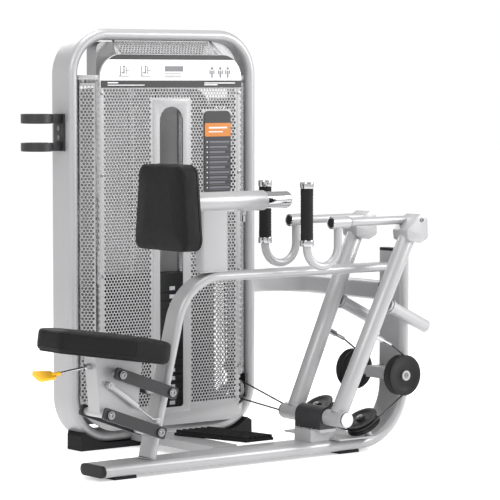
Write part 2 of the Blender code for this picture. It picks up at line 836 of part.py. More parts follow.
def step_plate():
    """A ribbed tread beside the rail, carried on the low brace."""
    outline = [Vector(point) for point in ((0.500, 0.078), (0.622, 0.078), (0.572, 0.385), (0.412, 0.385))]
    body = plate("step_plate", [outline], "XY", 0.0525, 0.0640, "rubber")
    ribs = 6
    for index in range(ribs):
        near_x = 0.506 + 0.0205 * index
        far_x = 0.420 + 0.0272 * index
        rib = [(near_x, 0.078), (near_x + 0.008, 0.078), (far_x + 0.009, 0.385), (far_x, 0.385)]
        join(body, plate("rib", [[Vector(point) for point in rib]], "XY", 0.060, 0.073))


def high_brace():
    """The bent tube from the tower's right leg to the rear column."""
    route = rounded(
        [
            (LOOP_RIGHT + GAP, TOWER_Y, 0),
            (COLUMN_X, TOWER_Y, 0.16),
            (COLUMN_X, RAIL_W / 2 + GAP, 0),
        ],
        steps=7,
    )
    oval_tube("high_brace", route, 0.5575, 0.030, 0.071, "silver_paint", plane="XY")


# ---- Chest pad ----


def chest_post():
    body = oval_tube(
        "chest_post", [
            (0.0, 0.640), (0.0, CHEST_Z - 0.010)
        ], POST_X, 0.040, LOOP_W, "silver_paint", plane="YZ"
    )
    cut(body, oval_tube("upright_space", upright_route(0.30), 0.0, UPRIGHT_T + 2 * GAP, UPRIGHT_W + 2 * GAP))
    join(body, cylinder("sleeve", (SLEEVE_START, 0, CHEST_Z), (SLEEVE_END, 0, CHEST_Z), SLEEVE_R, sides=24))
    join(body, cylinder("pin_boss", (0.428, 0, 0.856), (0.428, 0, 0.880), 0.009, sides=16))
    cut(
        body,
        cylinder(
            "sleeve_bore",
            (SLEEVE_START - 0.01, 0, CHEST_Z),
            (SLEEVE_END + 0.01, 0, CHEST_Z),
            SLIDE_R + 0.0007,
            sides=24,
        ),
    )
    cut(body, cylinder("pin_bore", (0.428, 0, 0.84), (0.428, 0, 0.89), 0.0053, sides=16))


def chest_slide_tube():
    body = cylinder(
        "chest_slide_tube",
        (PAD_BACK + 0.003, 0, CHEST_Z),
        (SLIDE_END, 0, CHEST_Z),
        SLIDE_R,
        "chrome",
        sides=24,
    )
    join(
        body,
        box(
            "flange", (PAD_BACK + GAP, -0.055, CHEST_Z - 0.055), (PAD_BACK + 0.0055, 0.055, CHEST_Z + 0.055)
        ),
    )
    for index in range(5):
        x = 0.428 + 0.020 * index
        cut(body, cylinder("index_hole", (x, 0, CHEST_Z - 0.034), (x, 0, CHEST_Z - 0.020), 0.005, sides=12))


def chest_pad():
    outline = rounded(
        [(-0.154, 0.747, 0.03), (0.154, 0.747, 0.03), (0.125, 1.037, 0.035), (-0.125, 1.037, 0.035)], steps=4
    )
    bevel(plate("chest_pad", [outline], "YZ", PAD_FRONT, PAD_BACK, "upholstery"), 0.010)


def chest_pull_pin():
    tip = CHEST_Z - SLIDE_R - 2 * GAP
    body = cylinder("chest_pull_pin", (0.428, 0, 0.845), (0.428, 0, tip), 0.0045, "chrome", sides=16)
    join(body, cylinder("pull_knob", (0.428, 0, 0.833), (0.428, 0, 0.8545), 0.0115, sides=16))


# ---- Lever arms ----


def at_arm(along, behind, y):
    """A point given along the arm from its pivot and square behind its middle line."""
    point = Vector((PIVOT_X, y, PIVOT_Z)) + ARM_DIR * along + BACK_DIR * behind
    return point


def arm_y(sign, along):
    """The arm's middle line, sideways: the arms spread a little towards their heads."""
    return sign * (ARM_LOW_Y + (ARM_TOP_Y - ARM_LOW_Y) * along / ARM_LENGTH)


def lever_arm(side, sign):
    """Hub, tube, head and handle tube, welded into one lever."""
    body = cylinder(
        f"{side}_arm",
        (PIVOT_X, sign * HUB_IN, PIVOT_Z),
        (PIVOT_X, sign * HUB_OUT, PIVOT_Z),
        0.029,
        "silver_paint",
    )
    low, high = at_arm(0.010, 0, arm_y(sign, 0.010)), at_arm(ARM_LENGTH, 0, arm_y(sign, ARM_LENGTH))
    join(body, cylinder("arm_tube", low, high, ARM_R, sides=24))
    head = rounded(
        [
            (1.024, 0.755, 0.010),
            (1.020, 0.788, 0.008),
            (1.060, 0.830, 0.02),
            (1.088, 0.846, 0.014),
            (1.114, 0.832, 0.02),
            (1.118, 0.758, 0.015),
            (1.080, 0.742, 0.01),
        ],
        steps=3,
    )
    low_y, high_y = sorted((sign * HEAD_IN, sign * HEAD_OUT))
    join(body, plate("arm_head", [head], "XZ", low_y, high_y))
    tube_y = sign * HANDLE_Y
    join(
        body,
        cylinder("handle_tube", (1.06, tube_y, HANDLE_Z), (HANDLE_END + 0.0005, tube_y, HANDLE_Z), 0.015),
    )
    cut(body, cylinder("hub_bore", (PIVOT_X, sign * 0.06, PIVOT_Z), (PIVOT_X, sign * 0.19, PIVOT_Z), 0.0157))


def counterweight(side, sign):
    y = arm_y(sign, WEIGHT_BAR_UP)
    body = cylinder(
        f"{side}_counterweight",
        at_arm(WEIGHT_BAR_UP, ARM_R + 0.0005, y),
        at_arm(WEIGHT_BAR_UP, WEIGHT_BAR_OUT, y),
        WEIGHT_BAR_R,
        "silver_paint",
    )
    join(body, cylinder("collar", at_arm(WEIGHT_BAR_UP, 0.040, y), at_arm(WEIGHT_BAR_UP, 0.050, y), 0.026))


def cable_fitting(side, sign):
    y = arm_y(sign, 0.325)
    body = cylinder(
        f"{side}_cable_fitting", at_arm(
            0.325, ARM_R + 0.0005, y
        ), at_arm(0.325, 0.107, y), 0.0065, "chrome", sides=16
    )
    join(
        body, cylinder("ferrule", at_arm(0.325, ARM_R + 0.0005, y), at_arm(0.325, 0.062, y), 0.011, sides=16)
    )


def row_handle(side, sign):
    """The swivel sleeve on the arm's tube and the U-shaped handle that hangs from it."""
    y = sign * HANDLE_Y
    body = cylinder(
        f"{side}_handle", (HANDLE_END - 0.006, y, HANDLE_Z), (SWIVEL_END, y, HANDLE_Z), 0.022, "silver_paint"
    )
    leg_x = GRIP_X + 2 * U_BEND
    flat = rounded(
        [
            (leg_x, HANDLE_Z - 0.012, 0),
            (leg_x, U_BOTTOM, U_BEND - 0.0005),
            (GRIP_X, U_BOTTOM, U_BEND - 0.0005),
            (GRIP_X, 0.960, 0),
        ],
        steps=6,
    )
    route = [Vector((point.x, y, point.y)) for point in flat]
    join(body, round_tube("u_tube", route, HANDLE_TUBE_R))
    for low, high in ((GRIP_LOW - 0.022, GRIP_LOW - GAP), (GRIP_HIGH + GAP, GRIP_HIGH + 0.022)):
        join(body, cylinder("grip_collar", (GRIP_X, y, low), (GRIP_X, y, high), 0.024))
    cut(body, cylinder("swivel_bore", (HANDLE_END, y, HANDLE_Z), (SWIVEL_END + 0.01, y, HANDLE_Z), 0.0156))
    ring(f"{side}_grip", (GRIP_X, y, GRIP_LOW), (GRIP_X, y, GRIP_HIGH), 0.022, 0.0146, "rubber")


def pivot_shaft():
    body = cylinder("pivot_shaft", (PIVOT_X, -0.172, PIVOT_Z), (PIVOT_X, 0.172, PIVOT_Z), 0.015, "chrome")
    for sign in (-1, 1):
        join(
            body,
            cylinder(
                "shaft_cap",
                (PIVOT_X, sign * (HUB_OUT + 0.0004), PIVOT_Z),
                (PIVOT_X, sign * SHAFT_END, PIVOT_Z),
                0.0265,
            ),
        )


def lower_axis():
    return Vector((-math.sin(LOWER_TILT), 0, math.cos(LOWER_TILT)))


def pivot_pedestal():
    """The block that holds the arms' shaft, and the cross plate with the studs of the lower pulleys."""
    body = box("pivot_pedestal", (0.690, -0.045, RAIL_TOP + GAP), (0.795, 0.045, 0.095), "dark_paint")
    top = PIVOT_Z + 0.036
    housing = rounded([(0.712, 0.085, 0), (0.784, 0.085, 0), (0.784, top, 0.035), (0.712, top, 0.035)])
    join(body, plate("shaft_housing", [housing], "XZ", 0.0005 - HUB_IN, HUB_IN - 0.0005))
    join(body, box("cross_plate", (0.780, -0.100, 0.0535), (0.940, 0.215, 0.0595)))
    join(body, box("cross_plate_end", (0.850, 0.100, 0.0535), (0.978, 0.215, 0.0595)))
    cut(body, cylinder("shaft_bore", (PIVOT_X, -0.12, PIVOT_Z), (PIVOT_X, 0.12, PIVOT_Z), 0.0154))
    axis = lower_axis()
    for centre in (LOWER_NEAR, LOWER_FAR):
        drop = (centre.z - 0.056) / axis.z
        join(
            body,
            cylinder("stud", centre + axis * (LOWER_HALF + 0.006), centre - axis * drop, 0.008, sides=16),
        )
        join(
            body,
            cylinder("shoulder", centre - axis * (LOWER_HALF + GAP), centre - axis * drop, 0.013, sides=16),
        )
        join(
            body,
            cylinder(
                "stud_cap",
                centre + axis * (LOWER_HALF + GAP),
                centre + axis * (LOWER_HALF + 0.007),
                0.015,
                sides=16,
            ),
        )


def rear_pulley_axle():
    body = box(
        "rear_pulley_axle",
        (1.020, -0.045, REAR_Z - 0.020),
        (COLUMN_FACE - GAP, 0.045, REAR_Z + 0.020),
        "silver_paint",
    )
    inner = PULLEY_Y - REAR_HALF - GAP
    join(body, cylinder("axle", (REAR_X, -0.153, REAR_Z), (REAR_X, 0.153, REAR_Z), 0.010))
    join(body, cylinder("spacer", (REAR_X, -inner, REAR_Z), (REAR_X, inner, REAR_Z), 0.016))
    for sign in (-1, 1):
        outer = sign * (PULLEY_Y + REAR_HALF + GAP)
        join(
            body, cylinder("washer", (REAR_X, outer, REAR_Z), (REAR_X, outer + sign * 0.005, REAR_Z), 0.018)
        )


def arm_pulleys():
    for (side, sign), centre in zip(SIDES, (LOWER_NEAR, LOWER_FAR)):
        cable_wheel(
            f"{side}_rear_pulley", (
                REAR_X, sign * PULLEY_Y, REAR_Z
            ), (0, 1, 0), REAR_R, REAR_GROOVE_R, REAR_HALF, 0.0105
        )
        cable_wheel(
            f"{side}_lower_pulley", centre, lower_axis(), LOWER_R, LOWER_GROOVE_R, LOWER_HALF, 0.0085
        )


def arm_cable_points(sign, centre, target):
    """One side's cable: from the arm over the rear pulley and round the lower pulley towards the target."""
    y = sign * PULLEY_Y
    start = at_arm(0.325, 0.1085, arm_y(sign, 0.325))
    arrival = centre - Vector((0, LOWER_GROOVE_R, 0))
    bearings = []
    for point, turn in ((start, -1), (arrival, 1)):
        offset = Vector((point.x - REAR_X, point.z - REAR_Z))
        bearings.append(math.atan2(offset.y, offset.x) + turn * math.acos(REAR_GROOVE_R / offset.length))
    points = [start]
    for step in range(13):
        turn = bearings[0] + (bearings[1] - bearings[0]) * step / 12
        points.append(
            Vector((REAR_X + REAR_GROOVE_R * math.cos(turn), y, REAR_Z + REAR_GROOVE_R * math.sin(turn)))
        )
    down = Vector((math.cos(LOWER_TILT), 0, math.sin(LOWER_TILT)))
    offset = target - centre
    leaving = math.atan2(offset.dot(down), offset.y)
    leaving += math.pi - math.acos(LOWER_GROOVE_R / math.hypot(offset.dot(down), offset.y))
    for step in range(10):
        turn = leaving * step / 9
        points.append(centre - LOWER_GROOVE_R * (math.cos(turn) * Vector((0, 1, 0)) + math.sin(turn) * down))
    return points


def exit_arc(centre, start):
    """Round an exit wheel, from its underside to the strand that rises behind it."""
    points = []
    for step in range(8):
        turn = math.radians(start + (90 - start) * step / 7)
        points.append(centre + EXIT_R * Vector((0, math.sin(turn), -math.cos(turn))))
    return points


def lift_cable():
    """One cable from arm to arm, with the floating pulley hung in its middle."""
    lower, upper = exit_arc(EXIT_LOWER, 5), exit_arc(EXIT_UPPER, 15)
    points = arm_cable_points(-1, LOWER_NEAR, lower[0]) + lower
    for degrees in range(180, -1, -15):
        turn = math.radians(degrees)
        points.append(FLOAT + FLOAT_R * Vector((0, math.cos(turn), math.sin(turn))))
    points += reversed(upper)
    points += reversed(arm_cable_points(1, LOWER_FAR, upper[0]))
    round_tube("lift_cable", points, CABLE_R, "cable_jacket", resolution=1)


# ---- Seat ----


def pad_underside(x):
    return PAD_Z - (x - PAD_X) * math.tan(PAD_TILT) - PAD_THICK / 2 / math.cos(PAD_TILT)


def seat_pad():
    outline = rounded(
        [
            (-0.205, -0.078, 0.03),
            (0.035, -0.150, 0.08),
            (0.205, -0.150, 0.045),
            (0.205, 0.150, 0.045),
            (0.035, 0.150, 0.08),
            (-0.205, 0.078, 0.03),
        ],
        steps=4,
    )
    body = bevel(plate("seat_pad", [outline], "XY", -PAD_THICK / 2, PAD_THICK / 2, "upholstery"), 0.010)
    body.location = (PAD_X, 0, PAD_Z)
    body.rotation_euler = (0, PAD_TILT, 0)


def seat_carriage():
    """The folded bracket under the seat, with its link bosses and the gas spring's and lever's lugs."""
    left, right = -0.212, -0.024
    outline = [
        Vector((left, pad_underside(left) - 2 * GAP)),
        Vector((right, pad_underside(right) - 2 * GAP)),
        Vector((-0.043, 0.211)),
        Vector((-0.1945, 0.222)),
    ]
    body = plate("seat_carriage", [outline], "XZ", -0.033, 0.033, "silver_paint")
    inside = [
        Vector((left + 0.0055, pad_underside(left) - 0.006)),
        Vector((0.02, pad_underside(0.02) - 0.006)),
        Vector((0.02, 0.18)),
        Vector((-0.1775, 0.18)),
    ]
    cut(body, plate("carriage_inside", [inside], "XZ", -0.029, 0.029))
    reach = LINK_Y - GAP
    for x, z in (LINK_TOP_SEAT, LINK_LOW_SEAT):
        join(body, cylinder("seat_boss", (x, -reach, z), (x, reach, z), 0.0145))
    x, z = GAS_TOP
    join(body, cylinder("gas_pin", (x, -0.031, z), (x, -0.059, z), 0.004, sides=16))
    x, z = LEVER_PIVOT
    for low in (-0.006, 0.0205):
        join(body, box("lever_ear", (x - 0.006, low, z - 0.007), (x + 0.012, low + 0.005, z + 0.007)))
    join(body, cylinder("lever_pin", (x, -0.004, z), (x, 0.024, z), 0.003, sides=12))
    for x, z in (LINK_TOP_SEAT, LINK_LOW_SEAT):
        cut(body, cylinder("boss_bore", (x, -0.09, z), (x, 0.09, z), 0.0078))


def link_pair(name, seat_end, post_end):
    """Two flat links on the two pins that they share."""
    seat, post = Vector(seat_end), Vector(post_end)
    along = (post - seat).normalized()
    across = Vector((-along.y, along.x)) * LINK_HEIGHT / 2
    corners = [
        seat - along * 0.024 - across,
        post + along * 0.024 - across,
        post + along * 0.024 + across,
        seat - along * 0.024 + across,
    ]
    outline = rounded([(corner.x, corner.y, 0.008) for corner in corners], steps=3)
    body = plate(name, [outline], "XZ", LINK_Y, LINK_Y + LINK_PLATE, "dark_paint")
    join(body, plate("far_link", [outline], "XZ", -LINK_Y - LINK_PLATE, -LINK_Y))
    reach = LINK_Y + LINK_PLATE
    for x, z in (seat_end, post_end):
        join(body, cylinder("link_pin", (x, -reach - 0.001, z), (x, reach + 0.001, z), 0.007, sides=16))
        for sign in (-1, 1):
            join(
                body,
                cylinder(
                    "pin_head",
                    (x, sign * (reach - 0.002), z),
                    (x, sign * (reach + 0.006), z),
                    0.0115,
                    sides=16,
                ),
            )


def gas_spring():
    top = Vector((GAS_TOP[0], GAS_Y, GAS_TOP[1]))
    low = Vector((GAS_LOW[0], GAS_Y, GAS_LOW[1]))
    run = (low - top).normalized()
    body = cylinder("gas_cylinder", top, top + run * 0.135, 0.0100, "silver_paint", sides=20)
    join(body, cylinder("eye", top - Vector((0, 0.0085, 0)), top + Vector((0, 0.0085, 0)), 0.0115, sides=20))
    cut(body, cylinder("eye_bore", top - Vector((0, 0.02, 0)), top + Vector((0, 0.02, 0)), 0.0047, sides=16))
    cut(body, cylinder("rod_bore", top + run * 0.0125, top + run * 0.145, 0.0047, sides=16))
    cylinder("gas_rod", top + run * 0.062, low - run * 0.013, 0.004, "chrome", sides=12)


def release_lever():
    """A barrel on the carriage's pin, a bent rod and a flat paddle for the fingers."""
    x, z = LEVER_PIVOT
    body = cylinder("release_lever", (x, 0.0002, z), (x, 0.0198, z), 0.0075, "lever_yellow", sides=16)
    route = [Vector((x, 0.010, z)), Vector((-0.270, 0.012, 0.368)), Vector((-0.350, 0.018, 0.3565))]
    join(body, round_tube("lever_rod", route, 0.0045, resolution=2))
    paddle = rounded(
        [
            (LEVER_TIP_X, -0.012, 0.015),
            (-0.338, 0.000, 0.012),
            (-0.338, 0.040, 0.012),
            (LEVER_TIP_X, 0.052, 0.015),
        ], steps=4
    )
    leaf = plate("paddle", [paddle], "XY", -0.00475, 0.00475)
    leaf.data.transform(
        Matrix.Translation((0, 0.020, 0.356)) @ Matrix.Rotation(
            PADDLE_TILT, 4, "X"
        ) @ Matrix.Translation((0, -0.020, 0)),
    )
    join(body, leaf)
    cut(body, cylinder("barrel_bore", (x, -0.01, z), (x, 0.03, z), 0.0036, sides=12))


def build_machine():
    tower_loop()
    tower_foot("tower_foot_left", False)
    tower_foot("tower_foot_right", True)
    shield("front_shield", True, "silver_paint")
    shield("rear_shield", False, "silver_paint")
    head_placard()
    instruction_board()
    top_beam()
    base_beam()
    guide_rods()
    weight_stack()
    selector_pin()
    tower_wheels()
    floating_pulley()
    stack_cable()
    bottle_holder()
    base_rail()
    upright_tube()
    low_brace()
    step_plate()
    high_brace()
    chest_post()
    chest_slide_tube()
    chest_pad()
    chest_pull_pin()
    for side, sign in SIDES:
        lever_arm(side, sign)
        counterweight(side, sign)
        cable_fitting(side, sign)
        row_handle(side, sign)
    pivot_shaft()
    pivot_pedestal()
    rear_pulley_axle()
    arm_pulleys()
    lift_cable()
    seat_pad()
    seat_carriage()
    link_pair("upper_links", LINK_TOP_SEAT, LINK_TOP_POST)
    link_pair("lower_links", LINK_LOW_SEAT, LINK_LOW_POST)
    gas_spring()
    release_lever()


build_machine()
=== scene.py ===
"""Looks of the seated row machine: surfaces, perforated sheet, upholstery, cables, fasteners and light."""

import math

import bmesh
import bpy
from mathutils import Matrix, Vector


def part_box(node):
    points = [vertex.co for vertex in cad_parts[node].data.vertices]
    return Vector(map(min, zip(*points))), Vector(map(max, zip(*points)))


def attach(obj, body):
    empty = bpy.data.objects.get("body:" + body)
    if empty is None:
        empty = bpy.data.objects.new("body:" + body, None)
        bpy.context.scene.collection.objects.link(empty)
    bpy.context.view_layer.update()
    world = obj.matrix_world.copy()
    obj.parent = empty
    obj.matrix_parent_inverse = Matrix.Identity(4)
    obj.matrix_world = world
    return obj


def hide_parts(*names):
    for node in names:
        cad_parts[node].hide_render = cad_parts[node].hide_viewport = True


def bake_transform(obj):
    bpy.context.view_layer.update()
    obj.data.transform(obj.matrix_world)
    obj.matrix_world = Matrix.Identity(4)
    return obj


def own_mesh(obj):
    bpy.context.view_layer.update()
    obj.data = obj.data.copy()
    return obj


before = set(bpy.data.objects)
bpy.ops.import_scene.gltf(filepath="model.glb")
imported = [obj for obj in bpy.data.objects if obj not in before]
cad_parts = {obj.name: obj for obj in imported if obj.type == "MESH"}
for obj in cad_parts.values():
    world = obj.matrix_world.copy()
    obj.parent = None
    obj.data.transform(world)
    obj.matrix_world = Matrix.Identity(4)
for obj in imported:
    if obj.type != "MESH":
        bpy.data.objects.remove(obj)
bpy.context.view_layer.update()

# ---- The machine's own frame: the user's line is Y 0, and its post stands near X 0 ----

TOWER_X, TOWER_Y = 0.5115, 0.6305
loop_low, loop_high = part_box("tower_loop")
loop_middle = [(low + high) / 2 for low, high in zip(loop_low, loop_high)]
MACHINE = Vector((loop_middle[0] - TOWER_X, loop_middle[1] - TOWER_Y, 0.0))
SHIFT = Matrix.Translation(MACHINE)
SIDES = (("near", -1.0), ("far", 1.0))

SECTION_T, SECTION_W, RAIL_W = 0.040, 0.127, 0.138
LOOP_LEFT, LOOP_RIGHT, LOOP_BOTTOM, LOOP_TOP = 0.0945, 0.9285, 0.0215, 1.500
LOOP_CORNER = 0.165
FACE_HALF, FACE_Y, WING_HALF, WING_Y = 0.317, 0.533, 0.373, 0.589
SHIELD_BOTTOM, SHIELD_CORNER, WING_TOP, FACE_TOP, REAR_TOP = 0.066, 0.12, 1.335, 1.410, 1.290
WINDOW_HALF, WINDOW_BOTTOM, WINDOW_TOP = 0.052, 0.131, 1.222
HOLE_PITCH_X, HOLE_PITCH_Z, HOLE_R = 0.0130, 0.0108, 0.0050
PIVOT = Vector((0.748, 0.0, 0.1386))
ARM_LEAN = math.radians(25.8)
ARM_DIR = Vector((math.sin(ARM_LEAN), 0, math.cos(ARM_LEAN)))
BACK_DIR = Vector((math.cos(ARM_LEAN), 0, -math.sin(ARM_LEAN)))
ARM_LOW_Y, ARM_TOP_Y, ARM_LENGTH, ARM_R = 0.119, 0.142, 0.690, 0.030
HUB_IN, HUB_OUT, HEAD_IN, HEAD_OUT = 0.070, 0.168, 0.100, 0.178
HANDLE_Y, HANDLE_Z, GRIP_X, GRIP_LOW, GRIP_HIGH = 0.116, 0.823, 0.614, 0.768, 0.945
CHEST_Z, SLIDE_R, SLEEVE_R = 0.904, 0.029, 0.0345
PAD_CENTRE = Vector((-0.172, 0.0, 0.446))
PAD_TILT = math.radians(8.5)
REAR_X, REAR_Y, REAR_Z = 1.0387, 0.132, 0.2718
LOWER_AT = {"near": Vector((0.899, -0.078, 0.1095)), "far": Vector((0.917, 0.186, 0.129))}
EXIT_AT = {"lower": Vector((0.836, 0.567, 0.172)), "upper": Vector((0.853, 0.627, 0.250))}
TOP_AT = {"left": Vector((TOWER_X + 0.036, TOWER_Y, 1.360)), "right": Vector((0.808, TOWER_Y, 1.360))}
LOWER_R, REAR_R, EXIT_R, TOP_R, FLOAT_R, CABLE_R = 0.054, 0.062, 0.033, 0.036, 0.030, 0.003
LOWER_AXIS = Vector((-math.sin(math.radians(32)), 0, math.cos(math.radians(32))))
LINKS = {
    "upper_link_pair": ((-0.1328, 0.3503), (0.0691, 0.2768)),
    "lower_link_pair": ((-0.1807, 0.2204), (0.0212, 0.1469)),
}


# ---- Materials ----


def add_node(tree, kind, **inputs):
    """A new shader node, with each named input set to a number or linked to an output."""
    node = tree.nodes.new("ShaderNode" + kind)
    for key, value in inputs.items():
        target = node.inputs[key.replace("_", " ")]
        if isinstance(value, float):
            target.default_value = value
        else:
            tree.links.new(value, target)
    return node


def mix_colours(tree, factor, first, second):
    mix = tree.nodes.new("ShaderNodeMix")
    mix.data_type = "RGBA"
    tree.links.new(factor, mix.inputs["Factor"])
    for socket, value in (("A", first), ("B", second)):
        target = [item for item in mix.inputs if item.name == socket and item.type == "RGBA"][0]
        if isinstance(value, tuple):
            target.default_value = (*value, 1.0)
        else:
            tree.links.new(value, target)
    return [item for item in mix.outputs if item.type == "RGBA"][0]


def finish_material(name, colour, roughness, metallic, shade, grain, bump, **extra):
    """A surface with a slow change of tone, a fine grain and a roughness that varies a little."""
    material = bpy.data.materials.new(name)
    material.use_nodes = True
    tree = material.node_tree
    shader = tree.nodes["Principled BSDF"]
    shader.inputs["Metallic"].default_value = metallic
    for key, value in extra.get("sockets", {}).items():
        shader.inputs[key].default_value = value
    place = tree.nodes.new("ShaderNodeTexCoord").outputs["Object"]
    tone = add_node(tree, "TexNoise", Scale=6.0, Detail=4.0, Vector=place)
    dark = tuple(value * (1 - shade) for value in colour)
    light = tuple(min(1.0, value * (1 + shade * 0.6)) for value in colour)
    colours = mix_colours(tree, tone.outputs["Fac"], dark, light)
    tree.links.new(colours, shader.inputs["Base Color"])
    fine = add_node(tree, "TexNoise", Scale=55.0, Detail=3.0, Vector=place)
    rough = {"To_Min": roughness * 0.85, "To_Max": min(1.0, roughness * 1.18)}
    spread = add_node(tree, "MapRange", Value=fine.outputs["Fac"], **rough)
    tree.links.new(spread.outputs["Result"], shader.inputs["Roughness"])
    if extra.get("cells"):
        relief = add_node(tree, "TexVoronoi", Scale=grain, Vector=place)
        relief.feature = "SMOOTH_F1"
        height = relief.outputs["Distance"]
    elif extra.get("wave"):
        relief = add_node(tree, "TexWave", Scale=grain, Vector=place)
        relief.bands_direction = extra["wave"]
        height = relief.outputs["Fac"]
    else:
        height = add_node(tree, "TexNoise", Scale=grain, Vector=place).outputs["Fac"]
    depth = extra.get("depth", 0.0006)
    raised = add_node(tree, "Bump", Strength=bump, Distance=depth, Height=height)
    tree.links.new(raised.outputs["Normal"], shader.inputs["Normal"])
    return material


COAT = {"Coat Weight": 0.35, "Coat Roughness": 0.25}
DULL = {"Specular IOR Level": 0.2}
SILVER = (0.375, 0.370, 0.378)
GRAIN = {"cells": True, "depth": 0.0008, "sockets": DULL}
LEATHER = {"cells": True, "depth": 0.0007, "sockets": {"Specular IOR Level": 0.16}}
BRAID = {"wave": "DIAGONAL", "depth": 0.0004}
FINISHES = (
    # name, colour, roughness, metallic, change of tone, scale of the grain, bump, extras
    ("silver_paint", SILVER, 0.38, 0.3, 0.05, 1400.0, 0.10, {"sockets": COAT}),
    ("sheet_paint", (0.36, 0.357, 0.363), 0.42, 0.2, 0.05, 1200.0, 0.08, {"sockets": COAT}),
    ("white_paint", (0.86, 0.86, 0.86), 0.40, 0.0, 0.02, 700.0, 0.02, {}),
    ("dark_paint", (0.022, 0.022, 0.024), 0.42, 0.1, 0.2, 1100.0, 0.12, {}),
    ("chrome", (0.50, 0.50, 0.51), 0.12, 1.0, 0.04, 600.0, 0.01, {}),
    ("steel", (0.25, 0.25, 0.255), 0.26, 1.0, 0.08, 700.0, 0.05, {}),
    ("rubber", (0.012, 0.012, 0.013), 0.72, 0.0, 0.25, 420.0, 0.5, GRAIN),
    ("black_plastic", (0.012, 0.012, 0.013), 0.38, 0.0, 0.2, 800.0, 0.12, {"sockets": DULL}),
    ("upholstery", (0.0085, 0.0080, 0.0082), 0.55, 0.0, 0.25, 380.0, 0.55, LEATHER),
    ("cast_plate", (0.020, 0.020, 0.021), 0.58, 0.3, 0.3, 260.0, 0.3, {}),
    ("board_print", (0.017, 0.017, 0.019), 0.45, 0.0, 0.06, 600.0, 0.03, {}),
    ("cable_jacket", (0.018, 0.018, 0.019), 0.38, 0.0, 0.2, 260.0, 0.25, BRAID),
    ("lever_yellow", (0.92, 0.50, 0.02), 0.38, 0.0, 0.08, 500.0, 0.06, {}),
    ("orange_print", (0.52, 0.17, 0.015), 0.40, 0.0, 0.05, 500.0, 0.03, {}),
    ("pale_print", (0.62, 0.63, 0.66), 0.42, 0.0, 0.05, 500.0, 0.03, {}),
    ("grey_print", (0.17, 0.17, 0.18), 0.45, 0.0, 0.05, 500.0, 0.03, {}),
    ("mid_print", (0.115, 0.11, 0.13), 0.42, 0.0, 0.05, 500.0, 0.03, {}),
)
MATERIALS = {row[0]: finish_material(*row[:-1], **row[-1]) for row in FINISHES}


def two_tone(name, low, high, height):
    """One finish below a height and another above it, for a part whose foot is painted with the base."""
    material = MATERIALS[high].copy()
    material.name = name
    tree = material.node_tree
    shader = tree.nodes["Principled BSDF"]
    place = tree.nodes.new("ShaderNodeNewGeometry").outputs["Position"]
    split = add_node(tree, "SeparateXYZ", Vector=place)
    above = tree.nodes.new("ShaderNodeMath")
    above.operation = "GREATER_THAN"
    above.inputs[1].default_value = height
    tree.links.new(split.outputs["Z"], above.inputs[0])
    upper = shader.inputs["Base Color"].links[0].from_socket
    colours = mix_colours(tree, above.outputs["Value"], low, upper)
    tree.links.new(colours, shader.inputs["Base Color"])
    return material


MATERIALS["pedestal_paint"] = two_tone("pedestal_paint", SILVER, "dark_paint", 0.0955)

# ---- Shape helpers ----

SHARP_ANGLE = math.radians(35)
WELD_DISTANCE = 0.00002
OVAL_STEPS = 18
# The radius at which a turned profile stops short of its axis
CORE_R = 0.0002


def mesh_of(name, shape):
    """A mesh made from a bmesh, which is used up."""
    mesh = bpy.data.meshes.new(name)
    shape.to_mesh(mesh)
    shape.free()
    return mesh


def new_object(name, data):
    obj = bpy.data.objects.new(name, data)
    bpy.context.scene.collection.objects.link(obj)
    return obj


def evaluated(obj):
    """A new mesh of an object with its modifiers applied."""
    bpy.context.view_layer.update()
    graph = bpy.context.evaluated_depsgraph_get()
    return bpy.data.meshes.new_from_object(obj.evaluated_get(graph))


def weld(shape):
    bmesh.ops.remove_doubles(shape, verts=shape.verts, dist=WELD_DISTANCE)
    bmesh.ops.recalc_face_normals(shape, faces=shape.faces)


def piece(name, shape, body, finish, replaces=()):
    """A finished piece from a bmesh in the machine's frame: shaded, painted and riding on its body."""
    mesh = mesh_of(name, shape)
    mesh.transform(SHIFT)
    obj = new_object(name, mesh)
    mesh.shade_smooth()
    mesh.set_sharp_from_angle(angle=SHARP_ANGLE)
    mesh.materials.append(MATERIALS[finish])
    if body:
        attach(obj, body)
    if replaces:
        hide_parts(*replaces)
    return obj


def merged(*shapes):
    """Several bmeshes as one."""
    whole = shapes[0]
    for other in shapes[1:]:
        mesh = mesh_of("part", other)
        whole.from_mesh(mesh)
        bpy.data.meshes.remove(mesh)
    return whole


def along(start, end):
    """The placement and length of a bar between two points."""
    start, end = Vector(start), Vector(end)
    run = end - start
    turn = run.to_track_quat("Z", "Y").to_matrix().to_4x4()
    return Matrix.Translation((start + end) / 2) @ turn, run.length


def round_edges(shape, width, segments=3, limit=30):
    """Bevels every edge sharper than a limit in degrees."""
    sharp = [edge for edge in shape.edges if edge.calc_face_angle(0) > math.radians(limit)]
    if sharp and width:
        even = {"profile": 0.5, "affect": "EDGES", "clamp_overlap": True}
        bmesh.ops.bevel(shape, geom=sharp, offset=width, segments=segments, **even)
    return shape


def bar(start, end, radius, edge=0.001, sides=48):
    """A round bar with softened ends."""
    place, length = along(start, end)
    shape = bmesh.new()
    sizes = {"radius1": radius, "radius2": radius, "depth": length}
    bmesh.ops.create_cone(shape, cap_ends=True, segments=sides, matrix=place, **sizes)
    return round_edges(shape, min(edge, length / 3), 2, 60)


def block(low, high, edge):
    low, high = Vector(low), Vector(high)
    shape = bmesh.new()
    size = high - low
    place = Matrix.Translation((low + high) / 2) @ Matrix.Diagonal((*size, 1))
    bmesh.ops.create_cube(shape, size=1, matrix=place)
    return round_edges(shape, edge)


